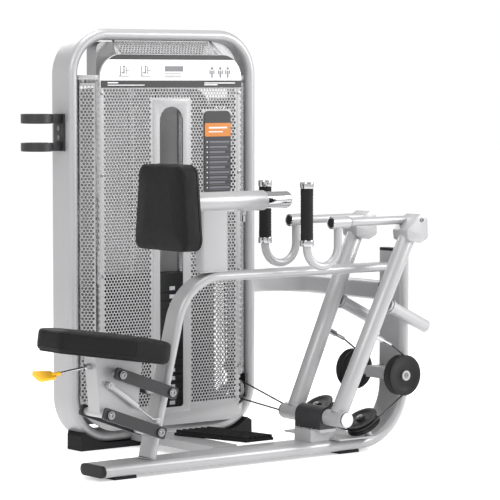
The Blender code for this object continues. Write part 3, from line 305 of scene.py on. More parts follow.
def rounded(corners, steps):
    """An outline or route whose (x, y, radius) corners become arcs."""
    points = []
    count = len(corners)
    for index, (x, y, radius) in enumerate(corners):
        here = Vector((x, y))
        if radius == 0:
            points.append(here)
            continue
        back = (Vector(corners[index - 1][:2]) - here).normalized()
        ahead = (Vector(corners[(index + 1) % count][:2]) - here).normalized()
        half = back.angle(ahead) / 2
        centre = here + (back + ahead).normalized() * radius / math.sin(half)
        first = here + back * radius / math.tan(half) - centre
        last = here + ahead * radius / math.tan(half) - centre
        start = math.atan2(first.y, first.x)
        sweep = (math.atan2(last.y, last.x) - start + math.pi) % (2 * math.pi) - math.pi
        for step in range(steps + 1):
            angle = start + sweep * step / steps
            points.append(centre + radius * Vector((math.cos(angle), math.sin(angle))))
    return points


def panel(left, right, low, high, low_r, high_r, steps):
    """A rectangle whose lower and upper corners have their own radii."""
    lower = [(left, low, low_r), (right, low, low_r)]
    return rounded(lower + [(right, high, high_r), (left, high, high_r)], steps)


def circle(x, y, radius, sides):
    turns = [2 * math.pi * step / sides for step in range(sides)]
    return [Vector((x + radius * math.cos(turn), y + radius * math.sin(turn))) for turn in turns]


PLANES = {
    "XY": Matrix(((1, 0, 0), (0, 1, 0), (0, 0, 1))),
    "XZ": Matrix(((1, 0, 0), (0, 0, -1), (0, 1, 0))),
    "YZ": Matrix(((0, 0, 1), (1, 0, 0), (0, 1, 0))),
}


def across(plane):
    return Vector([abs(value) for value in PLANES[plane] @ Vector((0, 0, 1))])


def shape_of(curve, place=None):
    """The bmesh of a curve data block, welded."""
    obj = new_object("route", curve)
    mesh = evaluated(obj)
    if place:
        mesh.transform(place)
    shape = bmesh.new()
    shape.from_mesh(mesh)
    weld(shape)
    bpy.data.objects.remove(obj, do_unlink=True)
    bpy.data.meshes.remove(mesh)
    return shape


def new_curve(splines, cyclic, dimensions):
    curve = bpy.data.curves.new("route", "CURVE")
    curve.dimensions = dimensions
    for points in splines:
        spline = curve.splines.new("POLY")
        spline.points.add(len(points) - 1)
        for point, place in zip(spline.points, points):
            point.co = (*Vector(place).to_3d(), 1.0)
        spline.use_cyclic_u = cyclic
    return curve


def plate(outlines, plane, low, high, edge=0.0):
    """A flat plate between two heights; a second outline inside the first is a hole."""
    curve = new_curve(outlines, True, "2D")
    curve.fill_mode = "BOTH"
    curve.extrude = (high - low) / 2
    place = Matrix.Translation(across(plane) * (low + high) / 2) @ PLANES[plane].to_4x4()
    return round_edges(shape_of(curve, place), edge, 2, 50)


def oval(route, plane, middle, thickness, width, cyclic=False):
    """An oval section swept along a flat route."""
    flat, radius = (width - thickness) / 2, thickness / 2
    section = []
    for centre, start in ((flat, 0.0), (-flat, math.pi)):
        for step in range(OVAL_STEPS + 1):
            angle = start + math.pi * step / OVAL_STEPS
            section.append(Vector((radius * math.cos(angle), centre + radius * math.sin(angle))))
    profile = new_object("section", new_curve([section], True, "2D"))
    profile.data.fill_mode = "NONE"
    curve = new_curve([route], cyclic, "2D")
    curve.fill_mode = "NONE"
    curve.bevel_mode = "OBJECT"
    curve.bevel_object = profile
    curve.use_fill_caps = not cyclic
    place = Matrix.Translation(across(plane) * middle) @ PLANES[plane].to_4x4()
    shape = shape_of(curve, place)
    bpy.data.objects.remove(profile, do_unlink=True)
    return shape


def wire(route, radius, resolution):
    """A round section swept along a route in space."""
    curve = new_curve([route], False, "3D")
    curve.bevel_depth = radius
    curve.bevel_resolution = resolution
    curve.use_fill_caps = True
    return shape_of(curve)


def turned(profile, centre, axis, steps=64):
    """A closed (radius, height) profile turned about an axis."""
    shape = bmesh.new()
    verts = [shape.verts.new((radius, 0.0, height)) for radius, height in profile]
    edges = [shape.edges.new((verts[index - 1], vert)) for index, vert in enumerate(verts)]
    whole = {"angle": 2 * math.pi, "steps": steps, "use_merge": True}
    bmesh.ops.spin(shape, geom=verts + edges, cent=(0, 0, 0), axis=(0, 0, 1), **whole)
    weld(shape)
    turn = Vector(axis).to_track_quat("Z", "Y").to_matrix().to_4x4()
    bmesh.ops.transform(shape, matrix=Matrix.Translation(Vector(centre)) @ turn, verts=shape.verts)
    return shape


def bolt(centre, outward, radius, height):
    """A washer and a domed cap screw with a hexagon socket."""
    rim = radius * 1.45
    profile = [(CORE_R, -0.0004), (rim, -0.0004), (rim, 0.0010), (radius, 0.0013), (radius, height * 0.6)]
    profile += [(radius * 0.8, height), (radius * 0.48, height), (radius * 0.44, height * 0.45)]
    return turned(profile + [(CORE_R, height * 0.45)], centre, outward, 24)


def bolt_set(name, spots, outward, radius=0.006, height=0.004, body="frame"):
    """One piece of equal bolts at several places."""
    heads = [bolt(spot, outward, radius, height) for spot in spots]
    piece(name, merged(*heads), body, "steel")


def vectors(*points):
    return [Vector(point) for point in points]


# ---- Camera, light and floor ----

camera_data = bpy.data.cameras.new("camera")
camera_data.lens = 183.7
camera_data.clip_end = 100.0
camera = new_object("camera", camera_data)
camera.location = Vector((-4.923, -6.920, 1.320)) + MACHINE
camera.rotation_euler = (math.radians(90 - 3.825), 0, math.radians(-37.86))
bpy.context.scene.camera = camera


def studio():
    world = bpy.data.worlds.new("studio")
    world.use_nodes = True
    tree = world.node_tree
    direction = tree.nodes.new("ShaderNodeTexCoord").outputs["Generated"]
    split = add_node(tree, "SeparateXYZ", Vector=direction)
    height = add_node(tree, "MapRange", From_Min=-1.0, Value=split.outputs["Z"])
    sky = add_node(tree, "ValToRGB", Fac=height.outputs["Result"])
    for position, grey in ((0.0, 0.40), (0.40, 0.95), (0.48, 1.02), (0.58, 1.02), (0.68, 0.42), (1.0, 0.50)):
        stop = sky.color_ramp.elements.new(position)
        stop.color = (grey, grey, grey, 1.0)
    sky.color_ramp.elements.remove(sky.color_ramp.elements[0])
    sky.color_ramp.elements.remove(sky.color_ramp.elements[-1])
    tree.links.new(sky.outputs["Color"], tree.nodes["Background"].inputs["Color"])
    bpy.context.scene.world = world
    for place, aim, size, power in (
        ((-3.4, -2.6, 3.4), (0, 0, 0.8), 2.2, 80.0),
        ((3.4, -2.6, 2.4), (0.2, 0, 0.6), 1.8, 125.0),
        ((0.5, 3.4, 3.2), (0, 0, 0.8), 2.4, 60.0),
        ((0.0, -0.3, 4.4), (0, 0, 0.5), 2.4, 85.0),
    ):
        data = bpy.data.lights.new("soft_box", "AREA")
        data.size = size
        data.energy = power
        lamp = new_object("soft_box", data)
        lamp.location = place
        lamp.rotation_euler = (Vector(place) - Vector(aim)).to_track_quat("Z", "Y").to_euler()
    shape = bmesh.new()
    bmesh.ops.create_grid(shape, x_segments=1, y_segments=1, size=30)
    floor = new_object("floor", mesh_of("floor", shape))
    floor.location = (0, 0, -0.0005)
    paper = {"Emission Color": (1.0, 1.0, 1.0, 1.0), "Emission Strength": 0.35}
    finish = finish_material("floor", (0.90, 0.90, 0.905), 0.6, 0.0, 0.01, 300.0, 0.01, sockets=paper)
    floor.data.materials.append(finish)
    bpy.context.scene.view_settings.view_transform = "Standard"


studio()


# ---- Carried-over frame nodes: each gets its finish, and some get softened edges ----

NODES_BY_FINISH = {
    "silver_paint": (
        "low_brace", "top_beam", "near_counterweight", "far_counterweight", "rear_pulley_axle",
        "seat_carriage", "gas_cylinder",
    ),
    "dark_paint": ("base_beam", "floating_pulley", "upper_links", "lower_links"),
    "pedestal_paint": ("pivot_pedestal",),
    "white_paint": ("head_placard",),
    "board_print": ("instruction_board",),
    "chrome": (
        "guide_rod_left", "guide_rod_right", "selector_pin", "near_cable_fitting",
        "far_cable_fitting", "pivot_shaft", "gas_rod", "chest_pull_pin",
    ),
    "rubber": ("tower_foot_left", "tower_foot_right", "rail_foot_front", "rail_foot_rear"),
    "cast_plate": ("resting_plates", "lifted_plates", "head_plate"),
}
NODES_BY_EDGE = {
    0.005: ("low_brace",),
    0.003: ("tower_foot_left", "tower_foot_right"),
    0.002: ("rail_foot_front", "rail_foot_rear"),
    0.001: ("guide_rod_left", "guide_rod_right"),
    0.0008: ("head_placard", "instruction_board"),
}
for finish, nodes in NODES_BY_FINISH.items():
    for node in nodes:
        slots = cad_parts[node].data.materials
        slots.clear()
        slots.append(MATERIALS[finish])
for width, nodes in NODES_BY_EDGE.items():
    for node in nodes:
        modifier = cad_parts[node].modifiers.new("edges", "BEVEL")
        modifier.width = width
        modifier.segments = 3
        modifier.limit_method = "ANGLE"
        modifier.angle_limit = math.radians(50)


# ---- Tubes of the frame ----


def tower_skin():
    half = SECTION_T / 2
    corner = LOOP_CORNER - half
    left, right, low, high = LOOP_LEFT + half, LOOP_RIGHT - half, LOOP_BOTTOM + half, LOOP_TOP - half
    tube = oval(panel(left, right, low, high, corner, corner, 28), "XZ", TOWER_Y, SECTION_T, SECTION_W, True)
    piece("tower_tube", tube, "frame", "silver_paint", ["tower_loop"])
    seat = LOOP_BOTTOM + SECTION_T + 0.0003
    spots = [(x, TOWER_Y + y, seat) for x in (0.30, 0.70) for y in (-0.05, 0.05)]
    bolt_set("tower_bolts", spots, (0, 0, 1), 0.008, 0.005)


def rail_skin():
    middle = 0.030
    route = rounded([(-0.193, middle, 0), (1.1135, middle, 0.200), (1.1135, 0.7047, 0)], 32)
    piece("rail_tube", oval(route, "XZ", 0.0, SECTION_T, RAIL_W), "frame", "silver_paint", ["base_rail"])
    for name, node, ends in (
        ("rail_plug", "rail_end_cap", [(-0.1933, middle), (-0.205, middle)]),
        ("column_plug", "column_cap", [(1.1135, 0.7050), (1.1135, 0.7147)]),
    ):
        plug = round_edges(oval(ends, "XZ", 0.0, SECTION_T, RAIL_W), 0.004, 3, 60)
        piece(name, plug, "frame", "black_plastic", [node])


def upright_skin():
    corner = 0.018 + 0.600 * math.tan(math.radians(14))
    start = 0.018 + 0.0045 * math.tan(math.radians(14))
    route = rounded([(start, 0.0545, 0), (corner, 0.650, 0.180), (1.0932, 0.650, 0)], 26)
    shape = oval(route, "XZ", 0.0, 0.030, 0.080)
    for x, z in (LINKS["upper_link_pair"][1], LINKS["lower_link_pair"][1]):
        shape = merged(shape, bar((x, -0.0615, z), (x, 0.0615, z), 0.017))
    lug = block((0.013, -0.040, 0.170), (0.047, -0.028, 0.190), 0.002)
    shape = merged(shape, lug, bar((0.022, -0.036, 0.180), (0.022, -0.058, 0.180), 0.005, 0.0006, 24))
    turns = [2 * math.pi * step / 40 for step in range(41)]
    weld = [(start + 0.0165 * math.cos(turn), 0.0415 * math.sin(turn), 0.0530) for turn in turns]
    piece("upright_weld", wire(weld, 0.0026, 4), "frame", "silver_paint")
    piece("post_and_level_bar", shape, "frame", "silver_paint", ["upright_tube"])


def brace_skin():
    route = rounded([(0.9288, TOWER_Y, 0), (1.1135, TOWER_Y, 0.16), (1.1135, 0.0693, 0)], 30)
    piece("bent_brace", oval(route, "XY", 0.5575, 0.030, 0.071), "frame", "silver_paint", ["high_brace"])
    flange = oval([(0.9290, TOWER_Y), (0.9330, TOWER_Y)], "XY", 0.5575, 0.046, 0.105)
    bolts = [bolt((0.9330, TOWER_Y, 0.5575 + z), (1, 0, 0), 0.005, 0.003) for z in (-0.044, 0.044)]
    piece("brace_flange", merged(flange, *bolts), "frame", "silver_paint")


def step_skin():
    outline = vectors((0.500, 0.078), (0.622, 0.078), (0.572, 0.385), (0.412, 0.385))
    shape = plate([outline], "XY", 0.0525, 0.0625, 0.0015)
    for index in range(6):
        near_x, far_x = 0.506 + 0.0205 * index, 0.420 + 0.0272 * index
        rib = vectors((near_x, 0.079), (near_x + 0.009, 0.079), (far_x + 0.010, 0.384), (far_x, 0.384))
        shape = merged(shape, plate([rib], "XY", 0.060, 0.0728, 0.0022))
    piece("ribbed_tread", shape, "frame", "rubber", ["step_plate"])


def bottle_skin():
    side_x, middle_x, radius = LOOP_LEFT - 0.0003, -0.004, 0.056
    shape = block((side_x - 0.006, TOWER_Y - 0.034, 1.067), (side_x, TOWER_Y + 0.034, 1.199), 0.002)
    for low, high, floor in ((1.165, 1.199, None), (1.067, 1.0975, 1.073)):
        inner = radius - 0.006
        wall = [(inner, low), (inner, high - 0.001), (inner + 0.001, high), (radius - 0.001, high)]
        wall += [(radius, high - 0.001), (radius, low + 0.003), (radius - 0.003, low)]
        if floor:
            tray = [(CORE_R, low), (CORE_R, floor), (inner - 0.003, floor), (inner, floor + 0.003)]
            wall = tray + wall[1:]
        hoop = turned(wall, (middle_x, TOWER_Y, 0), (0, 0, 1))
        neck_low = (middle_x + radius - 0.003, TOWER_Y - 0.021, low + 0.0005)
        neck = block(neck_low, (side_x - 0.004, TOWER_Y + 0.021, high - 0.0005), 0.003)
        shape = merged(shape, hoop, neck)
    piece("bottle_rings", shape, "frame", "dark_paint", ["bottle_holder"])
    bolt_set("bottle_bolts", [(side_x - 0.0062, TOWER_Y, z) for z in (1.115, 1.148)], (-1, 0, 0))


# ---- Perforated sheet ----


def perforated(zone, pierced, s_range, z_range, point):
    """A staggered field of round holes. zone says where there is sheet, pierced where it has holes."""
    shape = bmesh.new()
    known = {}

    def vert(s, z):
        key = (round(s, 5), round(z, 5))
        if key not in known:
            known[key] = shape.verts.new(point(s, z))
        return known[key]

    rows = int((z_range[1] - z_range[0]) / HOLE_PITCH_Z)
    columns = int((s_range[1] - s_range[0]) / HOLE_PITCH_X) + 2
    half_s, half_z = HOLE_PITCH_X / 2, HOLE_PITCH_Z / 2
    rim = [(1, 0), (1, 1), (0, 1), (-1, 1), (-1, 0), (-1, -1), (0, -1), (1, -1)]
    turns = [math.atan2(y, x) for x, y in rim]
    for row in range(rows):
        z = z_range[0] + (row + 0.5) * HOLE_PITCH_Z
        for column in range(columns):
            s = s_range[0] + (column + (0.5 if row % 2 else 0.0)) * HOLE_PITCH_X
            if not zone(s, z):
                continue
            outer = [vert(s + x * half_s, z + y * half_z) for x, y in rim]
            if not pierced(s, z):
                shape.faces.new(outer)
                continue
            inner = [vert(s + HOLE_R * math.cos(turn), z + HOLE_R * math.sin(turn)) for turn in turns]
            for index in range(8):
                after = (index + 1) % 8
                shape.faces.new((outer[index], outer[after], inner[after], inner[index]))
    return shape


def thick(obj, depth):
    """Gives a bare sheet its thickness."""
    modifier = obj.modifiers.new("sheet", "SOLIDIFY")
    modifier.thickness = depth
    modifier.offset = -1.0
    modifier.use_even_offset = False


def past_corner(x, z, inset):
    """Whether a point is outside the lower corners, which follow the inside of the loop."""
    dx, dz = abs(x - TOWER_X) - WING_HALF + SHIELD_CORNER, SHIELD_BOTTOM + SHIELD_CORNER - z
    return dx > 0 and dz > 0 and math.hypot(dx, dz) > SHIELD_CORNER - inset


def front_skin():
    left, right = TOWER_X - FACE_HALF, TOWER_X + FACE_HALF
    margin, bottom_margin = 0.024, 0.072

    def in_window(x, z):
        half, centre = WINDOW_HALF + 0.010, WINDOW_TOP - WINDOW_HALF
        dx = abs(x - TOWER_X)
        if dx > half or z < WINDOW_BOTTOM - 0.010:
            return False
        return z < centre or math.hypot(dx, z - centre) < half

    def zone(x, z):
        sheet = left + 0.009 < x < right - 0.009 and SHIELD_BOTTOM + 0.055 < z < 1.30
        return sheet and not in_window(x, z)

    def pierced(x, z):
        frame_edge = abs(x - TOWER_X) < WINDOW_HALF + 0.040 and z < WINDOW_TOP + 0.034
        board = 0.655 < x < 0.780 and 0.907 < z < 1.207
        return (
            left + margin < x < right - margin
            and SHIELD_BOTTOM + bottom_margin < z < 1.287
            and not frame_edge
            and not board
            and not past_corner(x, z, 0.03)
        )

    def point(x, z):
        return (x, FACE_Y + 0.0006, z)

    field = perforated(zone, pierced, (left, right), (SHIELD_BOTTOM, 1.31), point)
    thick(piece("front_mesh", field, "frame", "sheet_paint", ["front_shield"]), 0.0016)
    narrow, wide = WINDOW_HALF, WINDOW_HALF + 0.030
    window = panel(TOWER_X - narrow, TOWER_X + narrow, WINDOW_BOTTOM, WINDOW_TOP, 0.012, narrow - 0.0005, 20)
    low, high = WINDOW_BOTTOM - 0.02, WINDOW_TOP + 0.026
    around = panel(TOWER_X - wide, TOWER_X + wide, low, high, 0.004, 0.004, 4)
    surround = plate([around, window], "XZ", FACE_Y - 0.0002, FACE_Y + 0.0030, 0.0006)
    low, border = SHIELD_BOTTOM + bottom_margin - 0.0090, margin - 0.0052
    opening = panel(left + border, right - border, low, 1.2915, 0.004, 0.004, 3)
    rim = plate([face_outline(FACE_TOP), opening], "XZ", FACE_Y - 0.0001, FACE_Y + 0.0028, 0.0006)
    window_low = plate([window], "XZ", FACE_Y - 0.02, FACE_Y + 0.02)
    rim_obj = piece("front_rim", rim, "frame", "sheet_paint")
    window_tool = piece("window_tool", window_low, None, "sheet_paint")
    slot_tool = piece("slot_tool", block((0.812, 0.50, 0.122), (0.877, 0.62, 0.230), 0), None, "sheet_paint")
    for tool in (window_tool, slot_tool):
        carve(rim_obj, tool)
    piece("window_surround", surround, "frame", "sheet_paint")
    wings("front", 1, WING_TOP, slot_tool)
    for tool in (window_tool, slot_tool):
        bpy.data.objects.remove(tool, do_unlink=True)
    top_grille()


def face_outline(top):
    """A flat face's outline: the curved lower edge, straight sides and two round shoulders."""
    first = WING_HALF - SHIELD_CORNER
    places = [first + (FACE_HALF - first) * step / 12 for step in range(13)]
    edge = [(x, shell_floor(x)) for x in places]
    edge = [(-x, z) for x, z in reversed(edge)] + edge
    upper = panel(TOWER_X - FACE_HALF, TOWER_X + FACE_HALF, 0.5, top, 0, 0.09, 14)
    return [Vector((TOWER_X + x, z)) for x, z in edge] + upper[1:] + upper[:1]


def shell_floor(x):
    """The shield's lower edge at a distance from its middle, out in the rounded corner."""
    drop = SHIELD_CORNER**2 - (x - (WING_HALF - SHIELD_CORNER)) ** 2
    return SHIELD_BOTTOM + SHIELD_CORNER - math.sqrt(max(0.0, drop))


def carve(target, tool):
    """Cuts a tool out of a piece, for good."""
    modifier = target.modifiers.new("cut", "BOOLEAN")
    modifier.operation = "DIFFERENCE"
    modifier.object = tool
    mesh = evaluated(target)
    target.modifiers.clear()
    target.data = mesh


def wings(name, sense, top, slot_tool=None):
    """The two slanted side sheets: a rim with a pierced field inside it."""
    length = math.hypot(WING_HALF - FACE_HALF, WING_Y - FACE_Y)
    slope = math.radians(45)

    for side, label in ((-1, "left"), (1, "right")):

        def point(s, z):
            x = TOWER_X + side * (FACE_HALF + s * math.cos(slope))
            y = FACE_Y + s * math.sin(slope)
            return (x, y if sense > 0 else 2 * TOWER_Y - y, z)

        def low_at(s):
            return shell_floor(FACE_HALF + s * math.cos(slope))

        slotted = side > 0 and slot_tool is not None
        first, last = 0.0135, length - 0.009

        def floor_at(s):
            return max(low_at(s) + 0.046, 0.258 if slotted else 0.0)

        def zone(s, z):
            return 0.002 < s < length - 0.002 and floor_at(s) - 0.004 < z < top - 0.012

        def pierced(s, z):
            inset = HOLE_R + 0.0007
            return first + inset < s < last - inset and floor_at(s) + inset < z < top - 0.028 - inset

        field = perforated(zone, pierced, (0.0035, length), (SHIELD_BOTTOM, top), point)
        thick(piece(f"{name}_{label}_wing_mesh", field, "frame", "sheet_paint"), 0.0012 * sense * side)
        rim = bmesh.new()
        columns = [0.0] + [first + (last - first) * step / 12 for step in range(13)] + [length]
        grid = []
        for s in columns:
            levels = (low_at(s), floor_at(s), top - 0.028, top)
            grid.append([rim.verts.new(point(s, z)) for z in levels])
        for column in range(len(columns) - 1):
            side_strip = column in (0, len(columns) - 2)
            for row in (0, 1, 2) if side_strip else (0, 2):
                near, far = grid[column], grid[column + 1]
                rim.faces.new((near[row], far[row], far[row + 1], near[row + 1]))
        rim_obj = piece(f"{name}_{label}_wing_rim", rim, "frame", "sheet_paint")
        thick(rim_obj, 0.0022 * sense * side)
        if slotted:
            carve(rim_obj, slot_tool)


def top_grille():
    """The sloping pierced sheet over the placard."""
    slope_y, slope_z = 0.0545, 0.0560
    length = math.hypot(slope_y, slope_z)

    def point(x, t):
        return (x, 0.5335 + slope_y * t / length, 1.4035 + slope_z * t / length)

    def zone(x, t):
        return 0.300 < x < 0.722 and 0.012 < t < length - 0.004

    field = perforated(zone, zone, (0.296, 0.726), (0.010, length), point)
    thick(piece("top_mesh", field, "frame", "sheet_paint"), 0.0014)
    taper = 0.018
    for label, corners in (
        ("left_end", ((0.272, 0.0), (0.300, 0.0), (0.300, length), (0.272 + taper, length))),
        ("right_end", ((0.722, 0.0), (0.751, 0.0), (0.751 - taper, length), (0.722, length))),
        ("lip", ((0.296, 0.0), (0.726, 0.0), (0.726, 0.012), (0.296, 0.012))),
    ):
        shape = bmesh.new()
        shape.faces.new([shape.verts.new(point(x, t)) for x, t in corners])
        thick(piece(f"top_mesh_{label}", shape, "frame", "sheet_paint"), 0.0016)


def rear_skin():
    """The solid rear sheet, with a pressed field inside a round-cornered border."""
    left, right, back_y = TOWER_X - FACE_HALF, TOWER_X + FACE_HALF, 2 * TOWER_Y - FACE_Y
    sheet = plate([face_outline(REAR_TOP)], "XZ", back_y - 0.0024, back_y - 0.0006, 0.0004)
    inset = 0.032
    field = panel(left + inset, right - inset, SHIELD_BOTTOM + 0.13, REAR_TOP - 0.05, 0.03, 0.05, 12)
    raised = plate([field], "XZ", back_y - 0.0012, back_y + 0.0006, 0.0012)
    piece("rear_panel", merged(sheet, raised), "frame", "sheet_paint", ["rear_shield"])
    wings("rear", -1, REAR_TOP - 0.04)


# ---- Placard, board and stack labels ----


def print_bar(x0, x1, z0, z1, y, depth=0.0004, radius=0.0):
    if radius:
        return plate([panel(x0, x1, z0, z1, radius, radius, 5)], "XZ", y - depth, y)
    return block((x0, y - depth, z0), (x1, y, z1), 0)


def print_dot(x, z, radius, sides, y):
    return plate([circle(x, z, radius, sides)], "XZ", y - 0.0004, y)


def placard_print():
    y = FACE_Y - 0.0063
    half = FACE_HALF - 0.0035
    left, right = TOWER_X - half, TOWER_X + half
    strip = vectors((left, 1.291), (right, 1.291), (right, 1.3165), (left, 1.3165))
    top = [point for point in panel(left, right, 1.291, 1.4085, 0, 0.086, 24) if point.y > 1.390]
    black = merged(plate([strip], "XZ", y - 0.0004, y), plate([top], "XZ", y - 0.0004, y))
    piece("placard_black_print", black, "frame", "board_print")
    marks = [print_bar(0.478, 0.560, 1.348, 1.368, y)]
    for row in range(4):
        end, low = 0.560 - 0.008 * (row % 2), row * 0.0052
        marks.append(print_bar(0.478, end, 1.324 + low, 1.3265 + low, y))
    for x in (0.690, 0.728, 0.762):
        marks.append(print_bar(x - 0.004, x + 0.004, 1.326, 1.352, y))
        marks.append(print_dot(x, 1.360, 0.006, 20, y))
        for start in (x - 0.012, x + 0.006):
            marks.append(print_bar(start, start + 0.006, 1.338, 1.354, y))
    for x in (0.300, 0.394):
        for start, end, low, high in (
            (-0.024, 0.020, 1.330, 1.3335),
            (-0.020, -0.015, 1.3335, 1.368),
            (-0.012, 0.002, 1.341, 1.346),
            (-0.004, 0.002, 1.346, 1.360),
            (0.006, 0.010, 1.338, 1.366),
            (0.010, 0.022, 1.351, 1.3545),
        ):
            marks.append(print_bar(x + start, x + end, low, high, y))
        marks.append(print_dot(x - 0.001, 1.3655, 0.0045, 18, y))
    piece("placard_grey_print", merged(*marks), "frame", "grey_print")
    rows = (
        (left + 0.030, left + 0.075, 1.3065, 1.3100),
        (left + 0.030, left + 0.190, 1.2985, 1.3010),
        (right - 0.170, right - 0.030, 1.3055, 1.3085),
        (right - 0.170, right - 0.110, 1.2990, 1.3020),
    )
    strips = [print_bar(*row, y - 0.0004) for row in rows]
    piece("placard_strip_print", merged(*strips), "frame", "white_paint")


def board_print():
    y = FACE_Y - 0.0043
    band = print_bar(0.6585, 0.7765, 1.112, 1.161, y, 0.0008, 0.004)
    piece("board_orange_band", band, "frame", "orange_print")
    lines, dots = [], []
    for row in range(10):
        z = 1.092 - row * 0.0185
        lines.append(print_bar(0.680, 0.771 - 0.010 * (row % 3), z - 0.0036, z + 0.0036, y))
        lines.append(print_bar(0.680, 0.771, z - 0.0088, z - 0.0076, y))
        dots.append(print_dot(0.6695, z, 0.0026, 16, y))
    piece("board_lines", merged(*lines), "frame", "mid_print")
    for end, low, high in ((0.760, 1.141, 1.147), (0.740, 1.127, 1.131)):
        dots.append(print_bar(0.676, end, low, high, y - 0.0008))
    piece("board_dots", merged(*dots), "frame", "pale_print")


def stack_labels():
    y = TOWER_Y - 0.0451
    left, right, half = TOWER_X + 0.028, TOWER_X + 0.052, 0.0070
    for name, body, low, count in (
        ("resting_labels", "frame", 0.1391, 8),
        ("lifted_labels", "weight_unit", 0.3794, 7),
    ):
        heights = [low + index * 0.030 for index in range(count)]
        tags = [print_bar(left, right, z - half, z + half, y, 0.0005, 0.002) for z in heights]
        piece(name, merged(*tags), body, "pale_print")


# ---- Chest pad and its post ----


def chest_skin():
    post = oval([(0.0, 0.6653), (0.0, CHEST_Z - 0.020)], "YZ", 0.2915, 0.040, SECTION_W)
    bore, outer = SLIDE_R + 0.0006, SLEEVE_R
    sleeve_profile = [(bore, 0.0), (bore, 0.345), (outer - 0.0045, 0.345), (outer - 0.0014, 0.3438)]
    sleeve_profile += [(outer, 0.341), (outer, 0.0015), (outer - 0.0015, 0.0)]
    sleeve = turned(sleeve_profile, (0.170, 0, CHEST_Z), (1, 0, 0), 72)
    boss = bar((0.428, 0, 0.856), (0.428, 0, 0.8755), 0.009, 0.001, 32)
    piece("post_and_sleeve", merged(post, sleeve, boss), "frame", "silver_paint", ["chest_post"])
    saddle = oval([(0.0, 0.6652), (0.0, 0.6700)], "YZ", 0.2915, 0.046, 0.134)
    piece("post_weld", round_edges(saddle, 0.0015, 2, 60), "frame", "silver_paint")
    lining = [(bore - 0.0003, 0.0), (bore - 0.0003, 0.0022), (outer - 0.0045, 0.0022), (outer - 0.0045, 0.0)]
    piece("sleeve_bush", turned(lining, (0.515, 0, CHEST_Z), (1, 0, 0), 72), "frame", "black_plastic")
    dome = [(CORE_R, 0.0), (SLIDE_R, 0.0), (SLIDE_R, 0.463)]
    for turn in (0.4, 0.8, 1.2, 1.57):
        dome.append((SLIDE_R - 0.012 * (1 - math.cos(turn)), 0.463 + 0.012 * math.sin(turn)))
    tube = turned(dome + [(CORE_R, 0.475)], (0.151, 0, CHEST_Z), (1, 0, 0), 72)
    piece("chest_slide_skin", tube, "chest_unit", "chrome", ["chest_slide_tube"])
    flange = block((0.1483, -0.055, CHEST_Z - 0.055), (0.1535, 0.055, CHEST_Z + 0.055), 0.0015)
    piece("chest_flange", flange, "chest_unit", "dark_paint")
    spots = [(0.1537, y, CHEST_Z + z) for y in (-0.042, 0.042) for z in (-0.042, 0.042)]
    bolt_set("chest_flange_bolts", spots, (1, 0, 0), body="chest_unit")


PAD_LIFT, CLOTH_SHARE = 0.0095, 0.35


def cloth_shifts(obj, start):
    """How far the pressure inside a closed form moves each of its points."""
    cloth = obj.modifiers.new("cloth", "CLOTH")
    cloth.settings.use_pressure = True
    cloth.settings.uniform_pressure_force = 4.0
    cloth.settings.quality = 5
    cloth.settings.effector_weights.gravity = 0.0
    cloth.point_cache.frame_end = 20
    scene = bpy.context.scene
    for step in range(1, 19):
        scene.frame_set(step)
    grown = evaluated(obj)
    obj.modifiers.clear()
    scene.frame_set(1)
    return [vert.co - rest for vert, rest in zip(grown.vertices, start)]


def padded_form(name, shape, body, node, share):
    """A cushion grown from a slightly small core by cloth pressure, with how far it may move kept small."""
    mesh = mesh_of(name + "_core", shape)
    mesh.transform(SHIFT)
    obj = new_object(name, mesh)
    remesh = obj.modifiers.new("remesh", "REMESH")
    remesh.mode = "VOXEL"
    remesh.voxel_size = 0.006
    fine = evaluated(obj)
    obj.modifiers.clear()
    obj.data = fine
    start = [vert.co.copy() for vert in fine.vertices]
    outward = [vert.normal.copy() for vert in fine.vertices]
    shifts = cloth_shifts(obj, start)
    for vert, rest, shift, normal in zip(fine.vertices, start, shifts, outward):
        if shift.length > PAD_LIFT:
            shift = shift * (PAD_LIFT / shift.length)
        lift = shift * CLOTH_SHARE + normal * PAD_LIFT * (1 - CLOTH_SHARE)
        vert.co = rest + lift * share(rest - MACHINE)
    smooth = bmesh.new()
    smooth.from_mesh(fine)
    every_way = {"use_axis_x": True, "use_axis_y": True, "use_axis_z": True}
    for _ in range(3):
        bmesh.ops.smooth_vert(smooth, verts=smooth.verts, factor=0.4, **every_way)
    smooth.to_mesh(fine)
    smooth.free()
    fine.shade_smooth()
    fine.materials.clear()
    fine.materials.append(MATERIALS["upholstery"])
    levels = obj.modifiers.new("smooth", "SUBSURF")
    levels.levels = levels.render_levels = 1
    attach(obj, body)
    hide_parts(node)
    return obj


def on_cushion(cushion, point, middle):
    """The place where a line from outside, through a point to the pad's middle line, meets the cushion."""
    away = (point - middle).normalized()
    graph = bpy.context.evaluated_depsgraph_get()
    hit, place, normal, _ = cushion.ray_cast(point + away * 0.05 + MACHINE, -away, depsgraph=graph)
    return place - MACHINE + normal * 0.0002 if hit else point


def near_edge(corners, x, y):
    """How far a point is inside a convex outline of (x, y, radius) corners."""
    places = [Vector(corner[:2]) for corner in corners]
    inside = 1.0
    for index, place in enumerate(places):
        run = places[(index + 1) % len(places)] - place
        inside = min(inside, (run.x * (y - place.y) - run.y * (x - place.x)) / run.length)
    return inside


def swell(behind, depth, edge):
    """Nothing moves at the mounted side, the rim moves a little and the middle of the face the most."""
    return max(0.0, min(1.0, behind / depth)) * (0.4 + 0.6 * max(0.0, min(1.0, edge / 0.06)))


